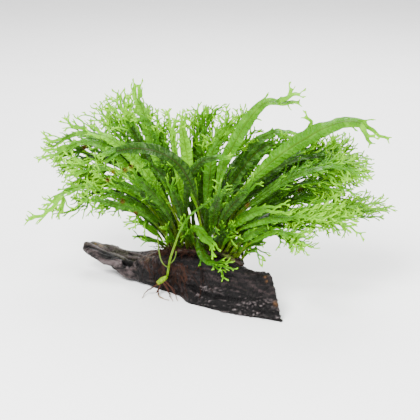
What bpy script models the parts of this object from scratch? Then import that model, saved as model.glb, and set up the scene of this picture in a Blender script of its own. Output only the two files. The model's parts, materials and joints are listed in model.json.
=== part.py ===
"""A java fern grown onto a slab of driftwood, as separate pieces at their real size.

Lengths are in millimetres until finish_piece() brings a mesh to metres. +X runs across the
front, +Y goes away from the viewer and +Z is up. The origin lies on the ground under the
middle of the whole object.
"""

import math

import bmesh
import bpy
from mathutils import Vector, noise
from mathutils.bvhtree import BVHTree

MM = 0.001

# The slab lies turned, with its thick end nearer the viewer
SLAB_TURN = math.radians(30)
SLAB_MIDDLE = Vector((-7.6, -3.2, 0.0))

# Eye from which the fronds' routes are laid out
EYE_RISE = math.radians(18)
EYE_DISTANCE = 1100.0
EYE_TARGET = SLAB_MIDDLE + Vector((8.0, -14.0, 71.4))

# Gap left between pieces that touch
TOUCH_GAP = 0.35

# Driftwood: corners of its cross-section at places along it, as (across, up). In turn they are
# the front foot, ledge, face, crest, trough, back ridge, back and heel
WOOD_SECTIONS = [
    (-107, [(-12, 17), (-13, 18), (-13, 20), (-10, 22), (-6, 21), (-3, 20), (-3, 18), (-7, 17)]),
    (-98, [(-15, 15), (-17, 17), (-16, 20), (-12, 21), (-6, 18), (-1, 20), (2, 17), (-4, 13)]),
    (-82, [(-16, 11), (-18, 13), (-17, 16), (-12, 18), (-5, 14), (3, 18), (8, 13), (1, 8)]),
    (-64, [(-17, 5), (-20, 8), (-19, 13), (-13, 16), (-4, 13), (5, 17), (13, 10), (6, 2)]),
    (-46, [(-18, 2), (-21, 6), (-20, 14), (-14, 20), (-4, 18), (8, 20), (17, 11), (10, -2)]),
    (-26, [(-19, -1), (-22, 5), (-23, 15), (-19, 26), (-5, 26), (10, 25), (22, 13), (16, -4)]),
    (-2, [(-24, -2), (-26, 5), (-27, 15), (-21, 29), (-4, 29), (12, 28), (25, 15), (20, -5)]),
    (8, [(-32, -2), (-33, 6), (-28, 14), (-22, 31), (-4, 30), (12, 27), (26, 15), (20, -5)]),
    (26, [(-34, -2), (-35, 7), (-29, 16), (-22, 34), (-5, 31), (11, 24), (24, 13), (20, -5)]),
    (43, [(-35, -2), (-36, 8), (-31, 18), (-23, 35), (-8, 27), (8, 20), (20, 11), (18, -5)]),
    (57, [(-35, -2), (-36, 9), (-32, 18), (-23, 30), (-9, 27), (6, 21), (18, 11), (16, -5)]),
    (76, [(-33, -2), (-34, 10), (-31, 20), (-22, 33), (-8, 29), (5, 23), (17, 12), (14, -5)]),
    (120, [(-29, -2), (-30, 9), (-27, 19), (-19, 32), (-7, 28), (5, 22), (15, 11), (11, -5)]),
]
WOOD_RINGS = 44
WOOD_RING_POINTS = 28
# Relief along the grain, and the length and breadth of its ridges
GRAIN_HEIGHT = 1.3
GRAIN_LENGTH = 34.0
GRAIN_BREADTH = 5.0
# Hollows in the front face, as (along, up, radius, depth), stretched along the grain
WOOD_PITS = [(-58, 14, 6.5, 6.0), (-51, 6, 4, 2.0), (14, 9, 6, 3.5), (30, 24, 5, 1.8), (64, 16, 7, 1.8)]
PIT_STRETCH = 1.6
# The thick end is sawn off askew: a point on the cut, and the direction that it faces
END_CUT_PLACE = Vector((63.3, -68.7, 0.0)) + SLAB_MIDDLE
END_CUT_FACES = Vector((0.96, 0.10, 0.27))

# Creeping stems on the slab, by their distance across it from the middle, with the places
# along it where they begin and end
FRONT = -10
MIDDLE = -1
BACK = 8
STEM_START = -35
STEM_ENDS = {FRONT: 46, MIDDLE: 41, BACK: 36}
STEM_RADIUS = 2.9
STEM_SPANS = 12
STEM_CLEAR = 0.4
STEM_SWAY = 1.2
ABOVE_WOOD = 100.0

# Fronds: a thin stalk for the first third, then a strap-shaped blade that divides at its tip
ROUTE_STEPS = 8
BLADE_THICK = 0.8
STALK_WIDTH = 2.2
STALK_SHARE = 0.34
BLADE_SWELL = (0.0, 0.8, 1.0, 0.95, 0.5)
FROND_ROWS = (0, 0.17, 0.34, 0.45, 0.56, 0.67, 0.78, 0.89, 1)
FINGER_WIDTH = 2.4
TIP_WIDTH = 1.3
FINGER_SLANT = 0.25
TWIST = 14.0
TWIST_PACE = 2.4
STEEPEST = 0.3
# A frond starts upright and takes up its lean over about this length
LEAN_RAMP = 14.0

# The young stem that hangs in front of the slab: its ends, its radius, and its roots as
# points from SLAB_MIDDLE that run down over the wood to the ground
BUD_ENDS = (Vector((-33.1, -16.4, 10.7)) + SLAB_MIDDLE, Vector((-29.2, -16.4, 13.5)) + SLAB_MIDDLE)
BUD_RADIUS = 2.4
ROOT_RADIUS = 0.5
ROOTS = [
    [(-39, -17, 6), (-44, -18, 2.5), (-47, -26, 0.6)],
    [(-34, -19, 4), (-33, -24, 0.7), (-25, -31, 0.6)],
    [(-28, -19, 8), (-25, -23, 3), (-22, -33, 0.6)],
    [(-25.5, -20, 10), (-21, -25, 5), (-18, -32, 0.7)],
]

# The fronds. Each has its number, the creeping stem that it grows from and its place along it,
# how far it leans away from the viewer for each millimetre of its length, the width of its
# blade, how far a level blade rolls about its midrib in degrees, the route of its midrib, the
# routes of the fingers at its tip, and side fingers with the share of the route at which they
# leave. Routes are (across, up) as seen from the front, from EYE_TARGET
FRONDS = [
    ("11", FRONT, -30, -0.48, 5.5, 40,
     [(-39, -23), (-46, -16), (-54, -10)],
     [[(-58, -5), (-62, -1)], [(-60, -9), (-66, -9)]],
     []),
    ("09", FRONT, -25, -0.36, 7, 40,
     [(-34, -22), (-42, -13), (-52, -3), (-64, 2), (-76, 5), (-87, 7)],
     [[(-98, 8), (-108, 9)], [(-88, 3), (-92, 0)]],
     [(0.55, [(-58, -6), (-62, -10)])]),
    ("42", FRONT, -20, -0.28, 7, 35,
     [(-34, -14), (-43, 1), (-54, 12), (-66, 19)],
     [[(-74, 25), (-78, 30)], [(-77, 19), (-84, 21)], [(-71, 26), (-70, 32)]],
     []),
    ("43", FRONT, -15, -0.62, 7, 35,
     [(-29, -14), (-36, 2), (-45, 13), (-54, 22)],
     [[(-59, 28), (-63, 35)], [(-62, 23), (-67, 26)]],
     []),
    ("46", FRONT, -11, -0.55, 7, 20,
     [(-22, -14), (-24, 2), (-29, 13)],
     [[(-33, 20), (-34, 26)], [(-30, 21), (-28, 27)]],
     []),
    ("30", FRONT, -7, -1.10, 6.5, 30,
     [(-19, -24), (-16, -17), (-10, -15), (-5, -21), (1, -26)],
     [[(5, -29), (8, -32)], [(2, -32), (3, -38)]],
     []),
    ("32", FRONT, -4, -1.15, 6.5, 20,
     [(-13, -26), (-11, -22), (-8, -26), (-6, -34), (-2, -41)],
     [[(6, -46), (13, -57)], [(10, -45), (22, -48)], [(8, -42), (18, -42)]],
     []),
    ("47", FRONT, 12, -1.50, 8, 20,
     [(2, -16), (3, -2), (7, 9)],
     [[(11, 16), (16, 21)], [(8, 17), (7, 23)]],
     []),
    ("48", FRONT, 16, -0.75, 8, 25,
     [(5, -18), (12, -4), (20, 6), (29, 14)],
     [[(35, 19), (42, 22)], [(33, 21), (34, 27)]],
     []),
    ("40", FRONT, 20, -0.58, 9, 35,
     [(9, -23), (17, -13), (29, -4), (43, 1)],
     [[(54, 3), (62, 6)], [(56, -2), (65, -2)]],
     []),
    ("31", FRONT, 25, -1.70, 4, 30,
     [(10, -30), (12, -26), (15, -22)],
     [[(16, -15), (19, -8)], [(18, -25), (22, -31)], [(19, -21), (26, -22)]],
     []),
    ("25", FRONT, 30, -0.52, 7, 35,
     [(20, -19), (33, -11), (48, -7), (66, -6)],
     [[(82, -3), (96, 3)], [(84, -6), (100, -6)], [(80, -10), (93, -10)]],
     []),
    ("24", FRONT, 34, -0.28, 5, 35,
     [(26, -21), (44, -13), (62, -8), (82, -6)],
     [[(99, -7), (112, -14), (125, -22)], [(100, -6), (112, -6), (119, -2)], [(98, -10), (108, -14), (111, -19)]],
     []),
    ("41", FRONT, 37, -0.48, 9, 35,
     [(24, -27), (34, -18), (46, -13)],
     [[(56, -10), (64, -10)], [(55, -15), (62, -18)]],
     []),
    ("26", FRONT, 40, -1.00, 6.5, 45,
     [(29, -29), (42, -21), (53, -17), (62, -19)],
     [[(70, -26), (77, -35)], [(74, -22), (85, -22)], [(71, -20), (81, -16)], [(74, -27), (85, -30)]],
     []),
    ("29", FRONT, 44, -0.50, 3, 30,
     [(30, -34), (37, -31)],
     [[(42, -33), (46, -35)], [(38, -37), (41, -40)]],
     []),
    ("08", MIDDLE, -30, -0.12, 5, 30,
     [(-40, -9), (-51, 5), (-66, 15), (-82, 20), (-98, 19), (-111, 17), (-118, 13)],
     [[(-126, 2), (-136, -5), (-150, -7)], [(-118, 3), (-122, -2)], [(-126, 7), (-130, 9)]],
     []),
    ("07", MIDDLE, -26, 0.02, 5.5, 30,
     [(-38, -2), (-50, 14), (-66, 27), (-82, 33), (-94, 34)],
     [[(-106, 35), (-123, 35)], [(-104, 30), (-118, 26)], [(-104, 40), (-115, 44)], [(-101, 27), (-110, 22)]],
     []),
    ("10", MIDDLE, -22, -0.24, 5.5, 30,
     [(-30, -18), (-42, -7), (-54, 3), (-67, 10), (-78, 14)],
     [[(-90, 16), (-98, 19)], [(-87, 11), (-96, 10)]],
     []),
    ("05", MIDDLE, -17, 0.14, 9, 35,
     [(-27, -6), (-42, 18), (-56, 36), (-69, 49), (-78, 56), (-86, 60)],
     [[(-91, 64), (-94, 70)], [(-92, 59), (-99, 63)]],
     []),
    ("33", MIDDLE, -12, -0.06, 9.5, 20,
     [(-22, -3), (-27, 20), (-34, 44), (-42, 61), (-50, 71)],
     [[(-58, 77), (-61, 82)], [(-56, 72), (-63, 74)]],
     []),
    ("45", MIDDLE, -8, -0.20, 8, 25,
     [(-20, -6), (-27, 13), (-36, 26), (-46, 35)],
     [[(-54, 40), (-59, 45)], [(-55, 34), (-62, 34)]],
     []),
    ("12", MIDDLE, -3, -0.12, 5.5, 10,
     [(-17, -6), (-23, 16), (-27, 40), (-29, 58)],
     [[(-29, 67), (-26, 74)], [(-32, 70), (-34, 80)]],
     []),
    ("16", MIDDLE, 1, -0.30, 7, 30,
     [(-18, -4), (-18, 14), (-14, 30), (-6, 39), (4, 42)],
     [[(11, 42), (18, 42)]],
     []),
    ("13", MIDDLE, 3, -0.02, 9.5, 12,
     [(-8, -8), (-13, 14), (-17, 36), (-20, 54), (-22, 66)],
     [[(-20, 74), (-18, 78)], [(-23, 74), (-25, 78)]],
     []),
    ("15", MIDDLE, 6, 0.02, 9.5, 15,
     [(-1, -10), (-2, 8), (0, 29), (2, 46), (7, 55)],
     [[(10, 66), (6, 73)], [(14, 70), (14, 82)], [(18, 68), (22, 75)], [(22, 70), (28, 82)]],
     []),
    ("06", MIDDLE, 10, -0.38, 9.5, 50,
     [(-6, -10), (-11, 10), (-18, 26), (-26, 37), (-37, 44), (-49, 48), (-62, 49), (-74, 47)],
     [[(-82, 46), (-88, 42)], [(-80, 42), (-85, 36)]],
     []),
    ("17", MIDDLE, 14, -0.12, 11, 20,
     [(2, -4), (6, 18), (11, 37), (19, 52), (27, 66), (35, 77), (45, 86), (54, 86)],
     [[(62, 90), (67, 99)], [(66, 92), (74, 93)], [(63, 86), (74, 86)]],
     []),
    ("19", MIDDLE, 18, -0.26, 10.5, 35,
     [(11, -8), (20, 10), (31, 22), (45, 35), (60, 47), (76, 57), (92, 66), (108, 71), (120, 70)],
     [[(132, 62), (146, 55)], [(125, 61), (134, 58)], [(126, 58), (129, 51)]],
     [(0.78, [(81, 70), (75, 77)])]),
    ("20", MIDDLE, 22, 0.03, 8, 40,
     [(16, -4), (26, 12), (40, 24), (55, 34), (70, 40), (86, 42)],
     [[(98, 50), (99, 58)], [(102, 48), (112, 57)], [(106, 42), (128, 42)], [(104, 38), (130, 32)]],
     [(0.80, [(82, 50), (80, 58)])]),
    ("21", MIDDLE, 26, -0.22, 5.5, 35,
     [(22, -6), (38, 8), (56, 21), (74, 30), (90, 34)],
     [[(106, 34), (120, 27), (127, 26)], [(108, 37), (125, 37)], [(102, 28), (116, 26)]],
     []),
    ("38", MIDDLE, 29, 0.04, 5.5, 35,
     [(28, -14), (42, -2), (58, 6), (72, 9)],
     [[(83, 14), (88, 19)], [(85, 10), (96, 12)], [(83, 5), (93, 3)]],
     []),
    ("23", MIDDLE, 32, -0.02, 5.5, 35,
     [(32, -18), (52, -6), (72, -1), (92, 1)],
     [[(108, 2), (118, 8), (131, 12)], [(110, 2), (128, 5), (142, 7)], [(112, 0), (132, 1), (149, 2)]],
     []),
    ("39", MIDDLE, 35, -0.32, 5.5, 35,
     [(34, -19), (50, -10), (67, -2), (83, 2)],
     [[(94, 8), (101, 9)], [(96, 2), (106, 4)], [(93, -2), (102, -3)]],
     []),
    ("27", MIDDLE, 39, 0.30, 7, 30,
     [(34, -24), (43, -12), (55, 0), (68, 10)],
     [[(79, 17), (90, 23)], [(82, 14), (90, 15)]],
     []),
    ("55", BACK, -32, 0.75, 7, 30,
     [(-34, -13), (-45, -2), (-59, 6), (-74, 11)],
     [[(-84, 15), (-93, 16)], [(-82, 11), (-90, 10)]],
     []),
    ("03", BACK, -28, 0.62, 6.5, 30,
     [(-32, 4), (-42, 28), (-51, 46), (-62, 60), (-73, 66), (-80, 69)],
     [[(-89, 72), (-103, 78)], [(-86, 78), (-90, 84)], [(-82, 77), (-80, 80)]],
     []),
    ("04b", BACK, -25, 0.10, 6.5, 40,
     [(-36, -5), (-50, 14), (-66, 34), (-80, 48), (-93, 54), (-104, 54), (-114, 50)],
     [[(-125, 44), (-137, 42)], [(-123, 49), (-134, 47)], [(-120, 42), (-126, 37)]],
     []),
    ("04", BACK, -22, 0.22, 6.5, 35,
     [(-36, 0), (-50, 24), (-67, 46), (-83, 57), (-98, 61), (-108, 61), (-117, 57)],
     [[(-125, 55), (-134, 58)], [(-123, 52), (-131, 50)]],
     [(0.84, [(-111, 68), (-114, 72)])]),
    ("44", BACK, -19, 0.50, 7, 35,
     [(-29, -2), (-42, 19), (-56, 35), (-69, 44)],
     [[(-78, 49), (-87, 51)], [(-78, 44), (-85, 42)]],
     []),
    ("02", BACK, -15, 0.30, 6.5, 20,
     [(-32, 4), (-44, 32), (-55, 54), (-63, 69), (-67, 76)],
     [[(-74, 85), (-82, 91)], [(-72, 87), (-74, 96)], [(-69, 86), (-66, 94)], [(-63, 82), (-62, 90)]],
     [(0.86, [(-78, 82), (-85, 85)])]),
    ("01", BACK, -11, 0.05, 9.5, 25,
     [(-26, -4), (-36, 24), (-44, 48), (-50, 67), (-54, 81), (-58, 88)],
     [[(-61, 95), (-58, 102)], [(-56, 94), (-57, 102)]],
     []),
    ("51", BACK, -7, 0.85, 8, 20,
     [(-14, -3), (-22, 14), (-30, 30), (-39, 42)],
     [[(-46, 48), (-51, 51)], [(-43, 50), (-44, 56)]],
     []),
    ("57", BACK, -3, 1.70, 7, 15,
     [(-7, -10), (-10, 3), (-15, 13)],
     [[(-18, 19), (-22, 24)], [(-15, 20), (-14, 26)]],
     []),
    ("14", BACK, 1, 0.10, 6.5, 10,
     [(-3, -6), (-6, 16), (-7, 38), (-6, 54), (-4, 66)],
     [[(-10, 77), (-14, 82)], [(-6, 77), (-3, 82)], [(1, 77), (2, 82)], [(3, 77), (11, 84)]],
     [(0.80, [(-11, 67), (-14, 74)])]),
    ("52", BACK, 6, 1.00, 8, 10,
     [(-3, -2), (-3, 18), (-2, 34), (1, 46)],
     [[(0, 54), (-3, 61)], [(3, 54), (6, 59)]],
     []),
    ("58", BACK, 10, 1.70, 7, 15,
     [(3, -11), (6, 2), (11, 11)],
     [[(14, 18), (18, 22)], [(12, 18), (10, 24)]],
     []),
    ("53", BACK, 13, 0.85, 8, 20,
     [(6, -2), (10, 16), (16, 30), (23, 42)],
     [[(29, 48), (32, 54)], [(31, 46), (38, 49)]],
     []),
    ("18", BACK, 16, 0.30, 6.5, 40,
     [(12, 4), (19, 26), (29, 44), (40, 56), (52, 62)],
     [[(64, 62), (77, 59)], [(62, 58), (72, 56)]],
     []),
    ("37", BACK, 20, 0.40, 6.5, 30,
     [(17, 2), (24, 21), (34, 36), (43, 46)],
     [[(51, 51), (61, 54)], [(48, 54), (52, 58)], [(53, 46), (64, 47)]],
     []),
    ("54", BACK, 23, 0.70, 7, 30,
     [(19, -5), (29, 10), (42, 21), (56, 28)],
     [[(66, 33), (74, 34)], [(64, 35), (69, 41)]],
     []),
    ("35", BACK, 27, 0.16, 7, 35,
     [(21, -2), (30, 16), (43, 29), (59, 38)],
     [[(72, 46), (78, 53)], [(74, 40), (83, 42)]],
     []),
    ("22", BACK, 30, 0.12, 5, 35,
     [(26, -10), (44, 4), (62, 14), (78, 19)],
     [[(92, 21), (114, 22)], [(96, 24), (112, 28)], [(92, 18), (106, 10)]],
     []),
    ("56", BACK, 34, 0.85, 7, 30,
     [(30, -16), (42, -6), (56, 1)],
     [[(65, 6), (73, 6)], [(63, 2), (70, -2)]],
     []),
]
# The frond of the young hanging stem
BUD_FROND_FOOT = Vector((-26.6, -16.9, 16.1)) + SLAB_MIDDLE
BUD_FROND = (
    -0.45, 3, 20,
    [(-32, -40), (-28.5, -29), (-23.5, -16), (-16.5, -5), (-8, 2), (3, 9), (14, 13)],
    [[(22, 16), (29, 14)], [(20, 19), (26, 22)]],
    [],
)


def on_slab(along, across, up):
    """The place of a point given along, across and above the turned slab."""
    x = along * math.cos(SLAB_TURN) + across * math.sin(SLAB_TURN)
    y = -along * math.sin(SLAB_TURN) + across * math.cos(SLAB_TURN)
    return SLAB_MIDDLE + Vector((x, y, up))


VIEW_FORWARD = Vector((0, math.cos(EYE_RISE), -math.sin(EYE_RISE)))
VIEW_UP = Vector((0, math.sin(EYE_RISE), math.cos(EYE_RISE)))
EYE = EYE_TARGET - EYE_DISTANCE * VIEW_FORWARD


def seen_at(place):
    """Where a point shows in the front view, as (across, up)."""
    offset = place - EYE
    nearness = EYE_DISTANCE / offset.dot(VIEW_FORWARD)
    return Vector((offset.x * nearness, offset.dot(VIEW_UP) * nearness))


def on_sight_line(seen, depth):
    """The point at a depth y that shows at seen in the front view."""
    line = EYE_DISTANCE * VIEW_FORWARD + Vector((seen[0], 0, 0)) + seen[1] * VIEW_UP
    return EYE + line * ((depth - EYE.y) / line.y)


def smooth_between(points, position):
    """A point on the smooth curve through points, with position counted in spans."""
    span = min(int(position), len(points) - 2)
    t = position - span
    here, after = points[span], points[span + 1]
    before = points[span - 1] if span else here * 2 - after
    beyond = points[span + 2] if span + 2 < len(points) else after * 2 - here
    return (
        here
        + (after - before) * (t / 2)
        + (before * 2 - here * 5 + after * 4 - beyond) * (t * t / 2)
        + (here * 3 - before - after * 3 + beyond) * (t**3 / 2)
    )


def material(name, colour, roughness):
    """A plain, non-metallic material."""
    made = bpy.data.materials.new(name)
    made.use_nodes = True
    shader = made.node_tree.nodes["Principled BSDF"]
    shader.inputs["Base Color"].default_value = (*colour, 1)
    shader.inputs["Roughness"].default_value = roughness
    shader.inputs["Metallic"].default_value = 0
    return made


def finish_piece(name, mesh, collection, look):
    """Brings a mesh to metres and makes it a named object."""
    bmesh.ops.recalc_face_normals(mesh, faces=mesh.faces)
    bmesh.ops.scale(mesh, vec=(MM, MM, MM), verts=mesh.verts)
    data = bpy.data.meshes.new(name)
    mesh.to_mesh(data)
    mesh.free()
    data.materials.append(look)
    piece = bpy.data.objects.new(name, data)
    collection.objects.link(piece)
    return piece


def extend(mesh, ends, places):
    """Extrudes the edge between two corners and puts the new edge's ends at places."""
    grown = bmesh.ops.extrude_edge_only(mesh, edges=[mesh.edges.get(ends)])["geom"]
    fresh = [item for item in grown if isinstance(item, bmesh.types.BMVert)]
    new_ends = [next(corner for corner in fresh if mesh.edges.get((corner, end))) for end in ends]
    for corner, place in zip(new_ends, places):
        corner.co = place
    return new_ends


# Driftwood


def wood_section(along):
    """The corners of the wood's cross-section at a place along it, as (across, up)."""
    places = [section[0] for section in WOOD_SECTIONS]
    span = max(i for i in range(len(places) - 1) if places[i] <= along or i == 0)
    position = span + (along - places[span]) / (places[span + 1] - places[span])
    corners = range(len(WOOD_SECTIONS[0][1]))
    return [
        smooth_between([Vector(section[1][corner]) for section in WOOD_SECTIONS], position)
        for corner in corners
    ]


def wood_point(along, turn):
    """A point of the wood's surface, turn going from 0 to 1 round the cross-section."""
    corners = wood_section(along)
    count = len(corners)
    closed = corners[-1:] + corners + corners[:2]
    point = smooth_between(closed, 1 + (turn % 1) * count)
    middle = sum(corners, Vector((0, 0))) / count
    outward = (point - middle).normalized()
    ridges = noise.noise(Vector((along / GRAIN_LENGTH, point.x / GRAIN_BREADTH, point.y / GRAIN_BREADTH)))
    lift = GRAIN_HEIGHT * ridges
    if outward.x < 0:
        for pit_along, pit_up, radius, depth in WOOD_PITS:
            away = math.hypot((along - pit_along) / PIT_STRETCH, point.y - pit_up) / radius
            lift -= depth * max(0, 1 - away * away)
    return on_slab(along, *(point + outward * lift))


def driftwood(collection, look):
    """The slab: one ring of corners extruded along it, then cut flat to rest on and sawn off."""
    mesh = bmesh.new()
    ring = bmesh.ops.create_circle(mesh, segments=WOOD_RING_POINTS, radius=1)["verts"]
    first, last = WOOD_SECTIONS[0][0], WOOD_SECTIONS[-1][0]
    bmesh.ops.holes_fill(mesh, edges=mesh.edges)
    for step in range(WOOD_RINGS + 1):
        if step:
            edges = [mesh.edges.get((ring[i - 1], ring[i])) for i in range(len(ring))]
            grown = bmesh.ops.extrude_edge_only(mesh, edges=edges)["geom"]
            fresh = [item for item in grown if isinstance(item, bmesh.types.BMVert)]
            ring = [next(c for c in fresh if mesh.edges.get((c, old))) for old in ring]
        along = first + (last - first) * step / WOOD_RINGS
        for corner, vertex in enumerate(ring):
            vertex.co = wood_point(along, corner / WOOD_RING_POINTS)
    for place, outside in ((END_CUT_PLACE, END_CUT_FACES), (Vector(), Vector((0, 0, -1)))):
        everything = mesh.verts[:] + mesh.edges[:] + mesh.faces[:]
        bmesh.ops.bisect_plane(
            mesh, geom=everything, dist=0.01, plane_co=place, plane_no=outside, clear_outer=True
        )
        rim = [edge for edge in mesh.edges if edge.is_boundary]
        bmesh.ops.holes_fill(mesh, edges=rim)
    surface = BVHTree.FromBMesh(mesh)
    return finish_piece("driftwood", mesh, collection, look), surface


# Creeping stems


def stem_axis(surface, across):
    """Points along a creeping stem that lies on the wood."""
    axis = []
    length = STEM_ENDS[across] - STEM_START
    for step in range(STEM_SPANS + 1):
        along = STEM_START + length * step / STEM_SPANS
        sway = STEM_SWAY * math.sin(along * 0.21 + across)
        above = on_slab(along, across + sway, ABOVE_WOOD)
        ground = surface.ray_cast(above, Vector((0, 0, -1)))[0]
        axis.append(ground + Vector((0, 0, STEM_RADIUS + STEM_CLEAR)))
    return axis


def creeping_stem(name, axis, collection, look):
    """A knobbly stem as a round tube through its axis points."""
    curve = bpy.data.curves.new(name, "CURVE")
    curve.dimensions = "3D"
    curve.bevel_depth = STEM_RADIUS * MM
    curve.bevel_resolution = 1
    curve.use_fill_caps = True
    spline = curve.splines.new("POLY")
    spline.points.add(len(axis) - 1)
    for index, (point, place) in enumerate(zip(spline.points, axis)):
        point.co = (*(place * MM), 1)
        point.radius = 0.7 + 0.2 * (index % 2)
    curve.materials.append(look)
    stem = bpy.data.objects.new(name, curve)
    collection.objects.link(stem)
    return stem


# Fronds


def midrib(route, foot, lean):
    """Close-set points along a frond's midrib, from the route that it takes in the front view."""
    seen = [seen_at(foot)] + [Vector(point) for point in route]
    line = [foot.copy()]
    gone = 0.0
    previous = seen[0]
    for step in range(1, ROUTE_STEPS * (len(seen) - 1) + 1):
        point = smooth_between(seen, step / ROUTE_STEPS)
        gone += (point - previous).length
        previous = point
        line.append(on_sight_line(point, foot.y + lean * gone * gone / (gone + LEAN_RAMP)))
    return line


def place_along(line, share):
    """The point at a share of a line's length, and the line's direction there."""
    lengths = [(line[i + 1] - line[i]).length for i in range(len(line) - 1)]
    left = share * sum(lengths)
    for index, length in enumerate(lengths):
        if left <= length or index == len(lengths) - 1:
            step = line[index + 1] - line[index]
            return line[index] + step * min(left / length, 1), step.normalized()
        left -= length


def across_blade(direction, roll, twist):
    """The unit vector from a blade's midrib to its left edge."""
    left = direction.cross(VIEW_FORWARD).normalized()
    away = left.cross(direction)
    angle = math.radians(roll * direction.x + twist)
    return left * math.cos(angle) + away * math.sin(angle)


def blade_width(share, widest):
    """A frond's width at a share of its length: a thin stalk, then a strap-shaped blade."""
    if share < STALK_SHARE:
        return STALK_WIDTH
    position = 4 * (share - STALK_SHARE) / (1 - STALK_SHARE)
    swell = smooth_between([Vector((s, 0)) for s in BLADE_SWELL], position).x
    return STALK_WIDTH + (widest - STALK_WIDTH) * swell


def finger(mesh, ends, start, places, facing):
    """Grows one finger of a frond's tip through places from the edge between ends."""
    stops = [start] + places
    for index in range(1, len(stops)):
        onward = stops[min(index + 1, len(stops) - 1)] - stops[index - 1]
        left = onward.cross(facing).normalized()
        share = index / (len(stops) - 1)
        half = (FINGER_WIDTH + (TIP_WIDTH - FINGER_WIDTH) * share) / 2
        ends = extend(mesh, ends, [stops[index] + left * half, stops[index] - left * half])


def stops_of_finger(points, start, slope):
    """A finger's route lifted to its depth, which changes by slope for each millimetre gone."""
    seen = seen_at(start)
    return [on_sight_line(point, start.y + slope * (Vector(point) - seen).length) for point in points]


def turn_left(heading, towards):
    """The angle in the front view from heading to towards, positive to the left."""
    return math.atan2(heading.x * towards.y - heading.y * towards.x, heading.dot(towards))


def frond(name, twist, foot, shape, collection, look):
    """A frond: a strip extruded along its midrib, whose end and sides divide into fingers."""
    lean, widest, roll, route, tips, sides = shape
    line = midrib(route, foot, lean)
    mesh = bmesh.new()
    rows = []
    for share in FROND_ROWS:
        middle, direction = place_along(line, share)
        left = across_blade(direction, roll, twist)
        half = left * (blade_width(share, widest) / 2)
        places = [middle + half, middle - half]
        if rows:
            rows.append(extend(mesh, rows[-1], places))
        else:
            rows.append([mesh.verts.new(place) for place in places])
            mesh.edges.new(rows[0])
    facing = left.cross(direction)
    slope = direction.y / max(STEEPEST, math.hypot(direction.x, direction.z))

    corners = rows[-1][:1]
    for remaining in range(len(tips), 1, -1):
        last_edge = mesh.edges.get((corners[-1], rows[-1][1]))
        corners.append(bmesh.utils.edge_split(last_edge, corners[-1], 1 / remaining)[1])
    corners.append(rows[-1][1])
    end = seen_at(middle)
    heading = end - seen_at(line[-3])
    tips = sorted(tips, key=lambda tip: turn_left(heading, Vector(tip[-1]) - end), reverse=True)
    for index, tip in enumerate(tips):
        ends = corners[index : index + 2]
        start = (ends[0].co + ends[1].co) / 2
        slant = FINGER_SLANT * (-1) ** index
        finger(mesh, ends, start, stops_of_finger(tip, start, slope + slant), facing)

    for share, points in sides:
        row = min(range(1, len(FROND_ROWS)), key=lambda r: abs(FROND_ROWS[r] - share))
        before, after = seen_at(rows[row - 1][0].co), seen_at(rows[row][0].co)
        if turn_left(after - before, Vector(points[0]) - before) > 0:
            ends = [rows[row - 1][0], rows[row][0]]
        else:
            ends = [rows[row][1], rows[row - 1][1]]
        start = (ends[0].co + ends[1].co) / 2
        finger(mesh, ends, start, stops_of_finger(points, start, slope), facing)

    piece = finish_piece(name, mesh, collection, look)
    wall = piece.modifiers.new("blade thickness", "SOLIDIFY")
    wall.thickness = BLADE_THICK * MM
    wall.offset = 0
    return piece


# The young hanging stem


def grow_root(mesh, face, stops, radius):
    """Draws a thin four-sided root out of a face and through its stops."""
    heading = face.normal.copy()
    for stop in [face.calc_center_median() + heading * radius] + stops:
        onward = (stop - face.calc_center_median()).normalized()
        turn = heading.rotation_difference(onward)
        heading = onward
        face = bmesh.ops.extrude_discrete_faces(mesh, faces=[face])["faces"][0]
        middle = face.calc_center_median()
        for corner in face.verts:
            spoke = turn @ (corner.co - middle).normalized()
            corner.co = stop + spoke * radius


def young_stem(collection, look):
    """The young stem: a stubby bud with roots drawn out of it."""
    mesh = bmesh.new()
    bmesh.ops.create_uvsphere(mesh, u_segments=8, v_segments=6, radius=BUD_RADIUS)
    low, high = BUD_ENDS
    axis = high - low
    bmesh.ops.scale(mesh, vec=(1, 1, 1 + axis.length / (2 * BUD_RADIUS)), verts=mesh.verts)
    turn = axis.to_track_quat("Z", "Y").to_matrix()
    bmesh.ops.rotate(mesh, cent=(0, 0, 0), matrix=turn, verts=mesh.verts)
    bmesh.ops.translate(mesh, vec=(low + high) / 2, verts=mesh.verts)
    mesh.normal_update()
    sides = [face for face in mesh.faces if len(face.verts) == 4]
    starts = []
    for route in ROOTS:
        stops = [SLAB_MIDDLE + Vector(stop) for stop in route]
        place = (low + high) / 2
        starts.append((max(sides, key=lambda face: face.normal.dot(stops[0] - place)), stops))
    for face, stops in starts:
        grow_root(mesh, face, stops, ROOT_RADIUS)
    return finish_piece("young_stem", mesh, collection, look)


def build():
    for old in list(bpy.data.objects):
        bpy.data.objects.remove(old)
    collection = bpy.data.collections.new("java_fern_on_driftwood")
    bpy.context.scene.collection.children.link(collection)
    bark = material("dark driftwood", (0.045, 0.03, 0.032), 0.75)
    stem_green = material("stem green", (0.12, 0.11, 0.03), 0.6)
    frond_green = material("frond green", (0.09, 0.32, 0.02), 0.4)
    bud_green = material("bud green", (0.35, 0.45, 0.05), 0.5)

    wood, surface = driftwood(collection, bark)
    axes = {}
    for name, across in (("front", FRONT), ("middle", MIDDLE), ("back", BACK)):
        axes[across] = stem_axis(surface, across)
        creeping_stem("creeping_stem_" + name, axes[across], collection, stem_green)
    young_stem(collection, bud_green)
    for index, (number, row, along, *shape) in enumerate(FRONDS):
        position = (along - STEM_START) / (STEM_ENDS[row] - STEM_START) * STEM_SPANS
        foot = smooth_between(axes[row], position) + Vector((0, 0, STEM_RADIUS + TOUCH_GAP))
        twist = TWIST * math.sin(TWIST_PACE * index)
        frond("frond_" + number, twist, foot, shape, collection, frond_green)
    frond("frond_young", 0, BUD_FROND_FOOT, BUD_FROND, collection, frond_green)


build()
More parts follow.
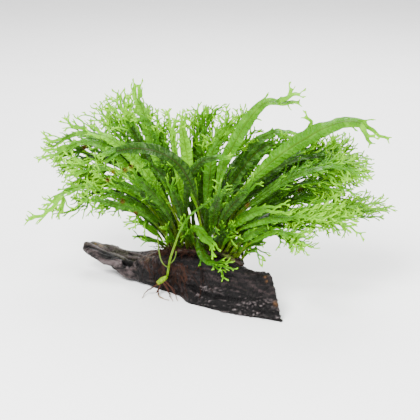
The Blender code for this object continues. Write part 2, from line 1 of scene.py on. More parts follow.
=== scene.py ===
# %% [markdown]
# # Java fern on driftwood
#
# A java fern has no roots in the ground: its creeping stems grip a piece of driftwood, and long
# strap-shaped fronds rise from them and fork into lacy tips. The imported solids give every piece
# its place and reach. They are loaded first, because each finer piece that is made below stands
# in the space of the plain solid that it replaces.

import json
import math
import random

import bmesh
import bpy
from mathutils import Matrix, Vector, noise
from mathutils.bvhtree import BVHTree

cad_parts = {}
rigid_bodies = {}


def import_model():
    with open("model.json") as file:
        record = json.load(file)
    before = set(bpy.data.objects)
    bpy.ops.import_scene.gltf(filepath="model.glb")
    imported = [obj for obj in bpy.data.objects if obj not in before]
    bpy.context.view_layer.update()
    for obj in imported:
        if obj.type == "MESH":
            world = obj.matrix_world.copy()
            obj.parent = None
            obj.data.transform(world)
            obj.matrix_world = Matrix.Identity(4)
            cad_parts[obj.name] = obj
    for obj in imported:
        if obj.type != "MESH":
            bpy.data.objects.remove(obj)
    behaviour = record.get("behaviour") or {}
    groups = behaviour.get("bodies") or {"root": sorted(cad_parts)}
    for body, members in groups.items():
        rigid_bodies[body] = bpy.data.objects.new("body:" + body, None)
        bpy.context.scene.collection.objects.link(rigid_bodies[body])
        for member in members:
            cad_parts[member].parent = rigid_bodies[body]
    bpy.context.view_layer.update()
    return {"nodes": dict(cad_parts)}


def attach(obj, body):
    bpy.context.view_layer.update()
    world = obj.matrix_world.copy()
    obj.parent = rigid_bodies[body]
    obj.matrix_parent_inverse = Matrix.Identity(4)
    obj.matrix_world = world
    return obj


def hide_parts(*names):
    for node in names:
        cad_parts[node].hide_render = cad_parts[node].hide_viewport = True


for leftover in list(bpy.data.objects):
    bpy.data.objects.remove(leftover)
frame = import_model()
nodes = frame["nodes"]

# %% [markdown]
# Sizes below are in millimetres, as a maker would measure them, and become metres only when a
# piece is finished. The slab lies turned on the ground, with its thick end nearer the viewer, so
# places on it are given along the slab, across it and above the ground. The fronds are laid out
# as a viewer in front sees them, so a second set of helpers turns a place in that front view,
# across and up from its middle, into a place in space at a chosen depth.

# %% Places on the slab and in the front view
MM = 0.001
TAU = 2 * math.pi
SLAB_TURN = math.radians(30)
SLAB_MIDDLE = Vector((-7.6, -3.2, 0.0))
EYE_RISE = math.radians(18)
EYE_DISTANCE = 1100.0
EYE_TARGET = SLAB_MIDDLE + Vector((8.0, -14.0, 71.4))
VIEW_FORWARD = Vector((0, math.cos(EYE_RISE), -math.sin(EYE_RISE)))
VIEW_UP = Vector((0, math.sin(EYE_RISE), math.cos(EYE_RISE)))
EYE = EYE_TARGET - EYE_DISTANCE * VIEW_FORWARD


def on_slab(along, across, up):
    """The place of a point given along, across and above the turned slab."""
    x = along * math.cos(SLAB_TURN) + across * math.sin(SLAB_TURN)
    y = -along * math.sin(SLAB_TURN) + across * math.cos(SLAB_TURN)
    return SLAB_MIDDLE + Vector((x, y, up))


def slab_place(point):
    """How far along and across the slab a point lies, and its height."""
    x, y = point.x - SLAB_MIDDLE.x, point.y - SLAB_MIDDLE.y
    along = x * math.cos(SLAB_TURN) - y * math.sin(SLAB_TURN)
    across = x * math.sin(SLAB_TURN) + y * math.cos(SLAB_TURN)
    return along, across, point.z


def seen_at(place):
    """Where a point shows in the front view, as (across, up)."""
    offset = place - EYE
    nearness = EYE_DISTANCE / offset.dot(VIEW_FORWARD)
    return Vector((offset.x * nearness, offset.dot(VIEW_UP) * nearness))


def on_sight_line(seen, depth):
    """The point at a depth y that shows at seen in the front view."""
    line = EYE_DISTANCE * VIEW_FORWARD + Vector((seen[0], 0, 0)) + seen[1] * VIEW_UP
    return EYE + line * ((depth - EYE.y) / line.y)


def smooth_between(points, position):
    """A point on the smooth curve through points, with position counted in spans."""
    span = min(int(position), len(points) - 2)
    t = position - span
    here, after = points[span], points[span + 1]
    before = points[span - 1] if span else here * 2 - after
    beyond = points[span + 2] if span + 2 < len(points) else after * 2 - here
    return (
        here
        + (after - before) * (t / 2)
        + (before * 2 - here * 5 + after * 4 - beyond) * (t * t / 2)
        + (here * 3 - before - after * 3 + beyond) * (t**3 / 2)
    )


print("front view looks down by", round(math.degrees(EYE_RISE)), "degrees")

# %% [markdown]
# The camera, the floor and the lights come before the pieces, so that every later step can be
# looked at as it is made. The floor is pale and sweeps up behind into the same pale colour, as
# in a product studio. Three big soft lights leave almost no shadow: one high in front, one from
# the right, and one behind that catches the arching blades.

# %% Camera
camera_data = bpy.data.cameras.new("front_camera")
camera_data.sensor_width = 36.0
FRAME_WIDTH = 336.0
camera_data.lens = EYE_DISTANCE / FRAME_WIDTH * camera_data.sensor_width
camera = bpy.data.objects.new("front_camera", camera_data)
bpy.context.scene.collection.objects.link(camera)
camera.location = EYE * MM
camera.rotation_euler = VIEW_FORWARD.to_track_quat("-Z", "Y").to_euler()
bpy.context.scene.camera = camera
print("lens", round(camera_data.lens, 1), "mm")

# %% A class for shader maths
class Value:
    """One output of a shader node, on which Python's own operators add Math nodes."""

    def __init__(self, tree, socket):
        self.tree = tree
        self.socket = socket

    def math(self, operation, *others):
        node = self.tree.nodes.new("ShaderNodeMath")
        node.operation = operation
        for place, value in enumerate((self, *others)):
            if isinstance(value, Value):
                self.tree.links.new(value.socket, node.inputs[place])
            else:
                node.inputs[place].default_value = value
        return Value(self.tree, node.outputs[0])

    def reflected(self, operation, other):
        node = self.tree.nodes.new("ShaderNodeMath")
        node.operation = operation
        node.inputs[0].default_value = other
        self.tree.links.new(self.socket, node.inputs[1])
        return Value(self.tree, node.outputs[0])

    def __add__(self, other):
        return self.math("ADD", other)

    def __radd__(self, other):
        return self.math("ADD", other)

    def __sub__(self, other):
        return self.math("SUBTRACT", other)

    def __rsub__(self, other):
        return self.reflected("SUBTRACT", other)

    def __mul__(self, other):
        return self.math("MULTIPLY", other)

    def __rmul__(self, other):
        return self.math("MULTIPLY", other)

    def __truediv__(self, other):
        return self.math("DIVIDE", other)

    def __rtruediv__(self, other):
        return self.reflected("DIVIDE", other)

    def __pow__(self, other):
        return self.math("POWER", other)

    def size(self):
        return self.math("ABSOLUTE")

    def wave(self):
        return self.math("SINE")

    def held(self):
        """The value kept between 0 and 1."""
        return self.math("MAXIMUM", 0.0).math("MINIMUM", 1.0)

    def between(self, low, high):
        """0 where the value is below low, 1 above high, and a smooth step in between."""
        node = self.tree.nodes.new("ShaderNodeMapRange")
        node.interpolation_type = "SMOOTHSTEP"
        self.tree.links.new(self.socket, node.inputs["Value"])
        node.inputs["From Min"].default_value = low
        node.inputs["From Max"].default_value = high
        return Value(self.tree, node.outputs["Result"])


class Finish:
    """A material that is built up node by node round its Principled surface."""

    def __init__(self, name, roughness=0.5, **constants):
        self.material = bpy.data.materials.new(name)
        self.material.use_nodes = True
        self.tree = self.material.node_tree
        self.surface = self.tree.nodes["Principled BSDF"]
        self.surface.inputs["Roughness"].default_value = roughness
        for socket, value in constants.items():
            self.surface.inputs[socket.replace("_", " ")].default_value = value

    def node(self, kind, settings=None, inputs=None, output=0):
        """Adds a node: its settings first, then the value or the link of each socket."""
        made = self.tree.nodes.new("ShaderNode" + kind)
        for setting, value in (settings or {}).items():
            setattr(made, setting, value)
        for socket, value in (inputs or {}).items():
            if isinstance(value, Value):
                self.tree.links.new(value.socket, made.inputs[socket])
            else:
                made.inputs[socket].default_value = value
        return Value(self.tree, made.outputs[output])

    def read(self, name):
        """A number that the piece carries at each corner of its mesh."""
        return self.node("Attribute", {"attribute_name": name}, output=2)

    def place(self, turn=0.0, stretch=(1, 1, 1)):
        """The place on the object in millimetres, turned about Z and stretched."""
        point = self.node("TexCoord", output=3)
        scale = tuple(1000 / s for s in stretch)
        turned = self.node("Mapping", {}, {"Vector": point, "Rotation": (0, 0, turn)})
        return self.node("Mapping", {}, {"Vector": turned, "Scale": scale})

    def speckle(self, where, scale, detail=3.0, roughness=0.55):
        """Soft noise from 0 to 1 that changes over about 1 / scale millimetres."""
        sockets = {"Vector": where, "Scale": scale, "Detail": detail, "Roughness": roughness}
        return self.node("TexNoise", {}, sockets)

    def blend(self, share, first, second):
        """Goes from the first colour to the second as share goes from 0 to 1."""
        sockets = {0: share}
        for place, colour in ((6, first), (7, second)):
            sockets[place] = colour if isinstance(colour, Value) else (*colour, 1)
        return self.node("Mix", {"data_type": "RGBA"}, sockets, output=2)

    def feed(self, **sockets):
        for socket, value in sockets.items():
            self.tree.links.new(value.socket, self.surface.inputs[socket.replace("_", " ")])

    def relief(self, height, distance):
        """Lets a height between 0 and 1 catch the light as relief of that many millimetres."""
        sockets = {"Height": height, "Strength": 1.0, "Distance": distance * MM}
        self.feed(Normal=self.node("Bump", {}, sockets))


print("shader helpers ready")

# %% Floor, backdrop and lights
def link(name, data):
    made = bpy.data.objects.new(name, data)
    bpy.context.scene.collection.objects.link(made)
    return made


FLOOR_REACH = 1.4
SWEEP_RADIUS = 0.6
sweep = bmesh.new()
front_edge = [sweep.verts.new((x, -FLOOR_REACH, 0)) for x in (-3, 3)]
edge = sweep.edges.new(front_edge)
flat = bmesh.ops.extrude_edge_only(sweep, edges=[edge])["geom"]
far_corners = [item for item in flat if isinstance(item, bmesh.types.BMVert)]
bmesh.ops.translate(sweep, verts=far_corners, vec=(0, 2 * FLOOR_REACH, 0))
far_edge = [item for item in flat if isinstance(item, bmesh.types.BMEdge)]
far_edge = [e for e in far_edge if all(c in far_corners for c in e.verts)]
bmesh.ops.spin(
    sweep, geom=far_corners + far_edge, cent=(0, FLOOR_REACH, SWEEP_RADIUS),
    axis=(1, 0, 0), angle=math.radians(90), steps=16,
)
bmesh.ops.recalc_face_normals(sweep, faces=sweep.faces)
floor_mesh = bpy.data.meshes.new("floor")
sweep.to_mesh(floor_mesh)
sweep.free()
for face in floor_mesh.polygons:
    face.use_smooth = True
floor = link("floor", floor_mesh)
paper = Finish("pale_paper", roughness=0.9)
grain = paper.speckle(paper.place(), 0.02)
paper.feed(Base_Color=paper.blend(grain, (0.86, 0.86, 0.86), (0.9, 0.9, 0.9)))
floor_mesh.materials.append(paper.material)

world = bpy.data.worlds.new("studio")
world.use_nodes = True
world.node_tree.nodes["Background"].inputs["Color"].default_value = (1, 1, 1, 1)
world.node_tree.nodes["Background"].inputs["Strength"].default_value = 1.2
bpy.context.scene.world = world


def soft_light(name, place, size, power):
    """A square light that looks at the middle of the fern."""
    data = bpy.data.lights.new(name, "AREA")
    data.size = size
    data.energy = power
    made = link(name, data)
    made.location = place
    made.rotation_euler = (Vector((0, 0, 0.08)) - Vector(place)).to_track_quat("-Z", "Y").to_euler()


soft_light("key_light", (-0.35, -0.75, 0.95), 0.55, 46.0)
soft_light("side_light", (0.95, -0.35, 0.55), 0.6, 12.0)
soft_light("back_light", (0.1, 0.75, 0.9), 0.7, 24.0)
print("floor, backdrop and three lights")

# %% [markdown]
# ## Driftwood
#
# The slab is old, waterworn wood: nearly black, with ridges that run along the grain, knot
# holes, a long crack and a leathery, wrinkled lower ledge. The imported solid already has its
# form. A copy of it is remeshed finely and evenly, so that every corner can then be moved in or
# out by what lies at its place. Pits and the crack are given where the front view shows them,
# and a ray from the eye finds their place on the wood.

# %% Finishing a piece
def add_piece(name, mesh, finish, *replaced, slot="wood", smooth=True):
    """Brings a mesh to metres and makes it a piece that stands for the solids it replaces."""
    bmesh.ops.scale(mesh, vec=(MM, MM, MM), verts=mesh.verts)
    data = bpy.data.meshes.new(name)
    mesh.to_mesh(data)
    mesh.free()
    for face in data.polygons:
        face.use_smooth = smooth
    data.materials.append(finish.material)
    piece = link(name, data)
    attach(piece, "root")
    if replaced:
        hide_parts(*replaced)
    return piece


def solid_copy(node):
    """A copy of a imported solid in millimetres, with its loose triangles joined."""
    mesh = bmesh.new()
    mesh.from_mesh(nodes[node].data)
    bmesh.ops.scale(mesh, vec=(1 / MM,) * 3, verts=mesh.verts)
    bmesh.ops.remove_doubles(mesh, verts=mesh.verts, dist=0.01)
    return mesh


plain_wood = solid_copy("driftwood")
wood_surface = BVHTree.FromBMesh(plain_wood)


def seen_on_wood(seen):
    """The point of the wood that shows at a place in the front view."""
    return wood_surface.ray_cast(EYE, on_sight_line(seen, 0) - EYE)[0]


print("driftwood solid has", len(plain_wood.faces), "faces")

# %% Marks on the wood
# Pits and knot holes, by place in the front view, radius and depth
PITS = [
    ((-67.0, -42.5), 4.6, 6.0), ((-63.5, -43.5), 4.4, 6.0), ((-57.5, -44.5), 2.0, 1.8),
    ((-46.5, -45.5), 1.6, 2.2), ((-21.5, -54.5), 2.2, 1.8), ((-9.5, -46.5), 2.0, 1.6),
    ((-6.0, -55.0), 1.7, 2.2), ((9.0, -54.0), 1.4, 1.2), ((31.0, -71.0), 1.5, 1.4),
    ((43.0, -62.0), 1.8, 1.2), ((-80.0, -38.5), 1.6, 1.6),
]
# The crack above the lower ledge, and the groove along the left arm, in the front view
CRACK = [(-31, -54), (-22, -59), (-14, -62), (-8, -65), (2, -69), (10, -70), (24, -72)]
ARM_GROOVE = [(-97, -30), (-89, -33), (-82, -36), (-73, -39), (-62, -41), (-50, -39)]
GROOVE_WIDTH = 2.1
# Places where the dark skin is worn or stained: where, radius
BARE_SPOTS = [((52.5, -75.0), 2.6), ((55.5, -79.0), 2.6), ((44.0, -53.0), 1.8), ((45.0, -57), 1.5)]
YELLOW_SPOTS = [((-87.0, -29.6), 2.6), ((-91.5, -28.8), 1.8)]


def groove_points(route):
    """Close-set points on the wood along a route in the front view."""
    corners = [Vector(place) for place in route]
    steps = 6 * (len(corners) - 1)
    found = [seen_on_wood(smooth_between(corners, step / 6)) for step in range(steps + 1)]
    return [point for point in found if point]


def nearness(point, centre, radius):
    """1 at a centre, falling smoothly to 0 at a radius."""
    share = (point - centre).length / radius
    return (1 - share * share) ** 2 if share < 1 else 0.0


pits = [(seen_on_wood(where), radius, depth) for where, radius, depth in PITS]
pits = [pit for pit in pits if pit[0]]
crack, arm_groove = groove_points(CRACK), groove_points(ARM_GROOVE)
bare = [(seen_on_wood(where), radius) for where, radius in BARE_SPOTS]
yellow = [(seen_on_wood(where), radius) for where, radius in YELLOW_SPOTS]
bare, yellow = ([spot for spot in spots if spot[0]] for spots in (bare, yellow))
print(len(pits), "pits,", len(crack + arm_groove), "groove points,", len(bare) + len(yellow), "spots")

# %% Fine driftwood
WOOD_GRID = 0.0008
coarse = bpy.data.meshes.new("coarse_wood")
metre_copy = solid_copy("driftwood")
bmesh.ops.scale(metre_copy, vec=(MM, MM, MM), verts=metre_copy.verts)
metre_copy.to_mesh(coarse)
metre_copy.free()
shaper = link("wood_shaper", coarse)
remesh = shaper.modifiers.new("even faces", "REMESH")
remesh.mode = "VOXEL"
remesh.voxel_size = WOOD_GRID
remesh.adaptivity = 0
evened = bpy.data.meshes.new_from_object(shaper.evaluated_get(bpy.context.evaluated_depsgraph_get()))
bpy.data.objects.remove(shaper)
bpy.data.meshes.remove(coarse)

wood = bmesh.new()
wood.from_mesh(evened)
bpy.data.meshes.remove(evened)
bmesh.ops.scale(wood, vec=(1 / MM,) * 3, verts=wood.verts)
for turn in range(3):
    bmesh.ops.smooth_vert(wood, verts=wood.verts, factor=0.5, use_axis_x=True, use_axis_y=True, use_axis_z=True)
wood.normal_update()
relief_value = wood.verts.layers.float.new("relief")
moss_value = wood.verts.layers.float.new("moss")
bare_value = wood.verts.layers.float.new("bare")
yellow_value = wood.verts.layers.float.new("yellow")
arm_value = wood.verts.layers.float.new("arm")
ledge_value = wood.verts.layers.float.new("ledge")
edge_value = wood.verts.layers.float.new("edge")

LEDGE_START = 2.0
CRUST_END = -58.0
CRUST_EDGE = -12.0
ARM_END = -38.0
# The bark edge along the top between the arm's crust and the stems
EDGE_MIDDLE = -42.0
EDGE_REACH = 26.0
# The sawn end stands a little further out at its top
END_START = 38.0
END_OUT = 3.2
outward = on_slab(1, 0, 0) - on_slab(0, 0, 0)
for corner in wood.verts:
    point = corner.co.copy()
    facing = corner.normal.copy()
    along, across, up = slab_place(point)
    sway = 3 * noise.noise(Vector((along / 30, across / 30, up / 30)))
    ridges = noise.fractal(Vector((along / 22, (across + sway) / 3.4, (up + sway) / 3.4)), 0.9, 2.1, 4)
    grain = noise.noise(Vector((along / 9, across / 1.1, up / 1.1)))
    knobs = noise.fractal(Vector((along / 2.6, across / 2.0, up / 2.0)), 0.7, 2.2, 4)
    low_front = max(0.0, min(1.0, (along - LEDGE_START) / 14)) * max(0.0, min(1.0, (19 - up) / 6))
    wrinkles = noise.noise(Vector((along / 3.6 + sway, across / 2.2, up / 2.0)))
    bark_plates = noise.noise(Vector((along / 4.5, across / 3, up / 3)))
    arm = max(0.0, min(1.0, (ARM_END - along) / 30))
    rough = 1 - 0.75 * arm
    lift = (0.8 + 0.5 * arm) * ridges + 0.35 * grain + rough * 0.5 * knobs
    lift -= rough * 2 * max(0.0, 0.25 - abs(bark_plates))
    lift += low_front * 1.3 * (abs(wrinkles) * 2 - 0.6)
    hollow = max((depth * nearness(point, place, radius) for place, radius, depth in pits), default=0)
    cut = 2.4 * max(nearness(point, place, GROOVE_WIDTH) for place in crack)
    cut += 1.0 * max(nearness(point, place, GROOVE_WIDTH) for place in arm_groove)
    lift -= hollow + cut
    resting = max(0.0, -facing.z) ** 4 if up < 3 else 0.0
    lift *= 1 - resting
    edge = max(0.0, 1 - ((along - EDGE_MIDDLE) / EDGE_REACH) ** 2) * max(0.0, facing.z)
    fullness = 1.3 * arm * (1 - resting) + 1.7 * edge
    end_share = max(0.0, min(1.0, (along - END_START) / 18)) * max(0.0, min(1.0, (up - 8) / 18))
    point += outward * (END_OUT * end_share)
    crust = 0.0
    if along < CRUST_END and facing.z > 0.25 and across > CRUST_EDGE:
        crust = max(0.0, min(1.0, 0.5 + 2.2 * noise.noise(point / 6) + 0.6 * (facing.z - 0.4)))
        crust *= min(1.0, (CRUST_END - along) / 8) * max(0.0, 1 - hollow)
        lift += 0.5 * crust * (0.4 + noise.noise(point / 1.3))
    corner.co = point + facing * (lift + fullness)
    corner.co.z = max(corner.co.z, 0.0)
    corner[relief_value] = max(-1.0, min(1.0, lift / 1.2))
    corner[ledge_value] = low_front
    corner[moss_value] = crust
    corner[arm_value] = arm
    corner[bare_value] = max(nearness(point, place, radius * 1.3) for place, radius in bare)
    corner[edge_value] = max(0.0, edge * 2 - 1) * max(0.0, min(1.0, 0.6 + 1.5 * noise.noise(point / 4)))
    corner[yellow_value] = max(nearness(point, place, radius * 1.3) for place, radius in yellow)
fine_surface = BVHTree.FromBMesh(wood)
print("fine driftwood has", len(wood.verts), "corners")

# %% [markdown]
# The wood's finish follows its relief. Hollows are nearly black, partly painted shade. Ridges are a
# greyish mauve brown, partly a painted highlight, and a little shinier, as if still damp. The upper
# ledge of the thin arm wears an olive crust, and a few worn spots show tan or reddish wood.

# %% Driftwood finish
bark = Finish("dark_waterworn_wood", roughness=0.5, Specular_IOR_Level=0.15, Coat_Roughness=0.3)
lengthwise = bark.place(turn=SLAB_TURN, stretch=(9, 1.3, 1.3))
streaks = bark.speckle(lengthwise, 1.0, detail=5.0, roughness=0.65)
blotches = bark.speckle(bark.place(), 0.09, detail=4.0)
fine = bark.speckle(bark.place(), 0.75, detail=4.0, roughness=0.75)
relief = bark.read("relief")
arm = bark.read("arm")
# Painted shade and painted highlight: the colour darkens in hollows and lightens on ridges of the relief, mixed
# with the grain streaks.
height = (relief * 0.55 + 0.38 + (streaks - 0.5) * 0.5 + (fine - 0.5) * 0.5 + arm * 0.1).between(0.2, 1.0)
colour = bark.blend(height, (0.0010, 0.0006, 0.0006), (0.031, 0.0195, 0.0195))
# The arm is paler wood, and its ridges are lighter still: partly a painted highlight.
colour = bark.blend(arm * height * 0.75, colour, (0.095, 0.070, 0.070))
colour = bark.blend(blotches.between(0.52, 0.72) * 0.45 * height, colour, (0.026, 0.012, 0.010))
# Painted glints: small pale spots on the ridges stand in for highlights.
painted_glints = height.between(0.45, 0.9) * fine.between(0.48, 0.68)
ledge = bark.read("ledge")
# How much stronger the painted glints are on the lower ledge and the arm.
glint_boost = (ledge + arm).held()
# The raised wrinkles of the lower ledge are lighter: partly paler wood, partly a painted highlight.
colour = bark.blend(ledge * height * 0.6, colour, (0.060, 0.047, 0.047))
colour = bark.blend(painted_glints * (0.3 + glint_boost * 0.4), colour, (0.095, 0.076, 0.077))
edge = bark.read("edge") * (streaks + fine).between(0.7, 1.1)
colour = bark.blend(edge, colour, (0.085, 0.050, 0.030))
moss = bark.read("moss")
olive = bark.blend(fine.between(0.35, 0.65), (0.010, 0.008, 0.005), (0.065, 0.062, 0.040))
colour = bark.blend((moss * (0.3 + fine)).held() * 0.85, colour, olive)
colour = bark.blend(bark.read("bare").held() * fine.between(0.3, 0.6) * 0.8, colour, (0.12, 0.055, 0.02))
colour = bark.blend(bark.read("yellow").held() * fine.between(0.35, 0.6), colour, (0.13, 0.075, 0.008))
sheen = (ledge * 0.6 + arm * 0.2) * height
bark.feed(Base_Color=colour, Roughness=0.55 - height * 0.2 + moss * 0.25, Coat_Weight=sheen)
bark.relief((streaks * 0.4 + fine * 0.6), 1.5)
driftwood = add_piece("fine_driftwood", wood, bark, "driftwood", slot="wood")
print("driftwood dressed")

# %% [markdown]
# ## Creeping stems
#
# Three creeping stems lie along the top of the wood, as thick as a pencil lead. A real one is
# knobbly, green-brown where it is fresh and scaly brown elsewhere, with a stalk rising from each
# knob. Each is a ring of corners drawn out along its route over the wood, with the radius of
# every ring varied. The route is found as it was for the solids, by dropping points onto the wood.

# %% Routes of the creeping stems
FRONT, MIDDLE, BACK = -10, -1, 8
STEM_START = -35
STEM_ENDS = {FRONT: 46, MIDDLE: 41, BACK: 36}
STEM_SPANS = 12
STEM_RADIUS = 2.9
STEM_CLEAR = 0.4
TOUCH_GAP = 0.35
DOWN = Vector((0, 0, -1))


def stem_axis(across):
    """Points along a creeping stem that lies on the wood."""
    axis = []
    length = STEM_ENDS[across] - STEM_START
    for step in range(STEM_SPANS + 1):
        along = STEM_START + length * step / STEM_SPANS
        sway = 1.2 * math.sin(along * 0.21 + across)
        ground = wood_surface.ray_cast(on_slab(along, across + sway, 100), DOWN)[0]
        axis.append(ground + Vector((0, 0, STEM_RADIUS + STEM_CLEAR)))
    return axis


axes = {across: stem_axis(across) for across in STEM_ENDS}
print(len(axes), "stem routes")

# %% Drawing a tube along a route
def tube(mesh, places, radii, sides=6, flat=1.0):
    """Draws a closed tube out along places, with a radius at each."""
    heading = (places[1] - places[0]).normalized()
    turn = heading.to_track_quat("Z", "Y")
    ring = bmesh.ops.create_circle(mesh, segments=sides, radius=1, cap_ends=True)["verts"]
    spokes = [turn @ Vector((corner.co.x, corner.co.y * flat, 0)) for corner in ring]
    for corner, spoke in zip(ring, spokes):
        corner.co = places[0] + spoke * radii[0]
    for index in range(1, len(places)):
        edges = [mesh.edges.get((ring[i - 1], ring[i])) for i in range(sides)]
        grown = bmesh.ops.extrude_edge_only(mesh, edges=edges)["geom"]
        fresh = {item for item in grown if isinstance(item, bmesh.types.BMVert)}
        ring = [next(e.other_vert(c) for e in c.link_edges if e.other_vert(c) in fresh) for c in ring]
        onward = (places[min(index + 1, len(places) - 1)] - places[index - 1]).normalized()
        bend = heading.rotation_difference(onward)
        heading = onward
        spokes = [bend @ spoke for spoke in spokes]
        for corner, spoke in zip(ring, spokes):
            corner.co = places[index] + spoke * radii[index]
    rim = [mesh.edges.get((ring[i - 1], ring[i])) for i in range(sides)]
    bmesh.ops.edgeloop_fill(mesh, edges=rim)
    return ring


print("tube helper ready")

# %% Creeping stems
FRESH_END = (9.0, 19.0)
stem_finish = Finish("scaly_stem", roughness=0.6, Specular_IOR_Level=0.2)
scales = stem_finish.speckle(stem_finish.place(), 0.6, detail=4.0)
patches = stem_finish.speckle(stem_finish.place(), 0.2)
stem_colour = stem_finish.blend(scales.between(0.35, 0.7), (0.003, 0.002, 0.0015), (0.030, 0.017, 0.009))
stem_colour = stem_finish.blend(patches.between(0.5, 0.62) * 0.5, stem_colour, (0.045, 0.016, 0.009))
fresh = stem_finish.read("fresh") * scales.between(0.3, 0.6)
stem_colour = stem_finish.blend(fresh, stem_colour, (0.060, 0.085, 0.010))
stem_finish.feed(Base_Color=stem_colour)
stem_finish.relief(scales, 0.8)

for name, across in (("front", FRONT), ("middle", MIDDLE), ("back", BACK)):
    mesh = bmesh.new()
    steps = 6 * STEM_SPANS
    places = [smooth_between(axes[across], step / 6) for step in range(steps + 1)]
    radii = []
    for step, place in enumerate(places):
        knob = 0.5 + 0.5 * math.sin(step * TAU / 5 + across)
        end = min(1.0, 0.35 + 0.25 * min(step, steps - step))
        radii.append(STEM_RADIUS * (0.62 + 0.2 * knob + 0.25 * noise.noise(place / 3)) * end)
    tube(mesh, places, radii, sides=12)
    fresh_value = mesh.verts.layers.float.new("fresh")
    for corner in mesh.verts:
        seen = seen_at(corner.co).x
        corner[fresh_value] = float(FRESH_END[0] < seen < FRESH_END[1])
    bmesh.ops.recalc_face_normals(mesh, faces=mesh.faces)
    add_piece("stem_" + name, mesh, stem_finish, "creeping_stem_" + name, slot="stem")
print("three creeping stems")

# %% [markdown]
# ## Fronds
#
# Each frond is a thin stalk that widens into a strap with a midrib, wavy margins and a quilted
# surface between its side veins, and ends in fingers that fork again and again. A sheet suits
# it: a grid bent onto the frond's midrib, whose margins and end edges are then extruded into
# fingers and twigs. A Solidify modifier gives it thickness and one level of Subdivision rounds
# it. The table holds what was measured for each frond, as its solid was made: the stem it grows
# from and where, its lean, width and roll, the route of its midrib in the front view, the
# routes of the fingers at its tip, and side fingers with the share of the route where they leave.

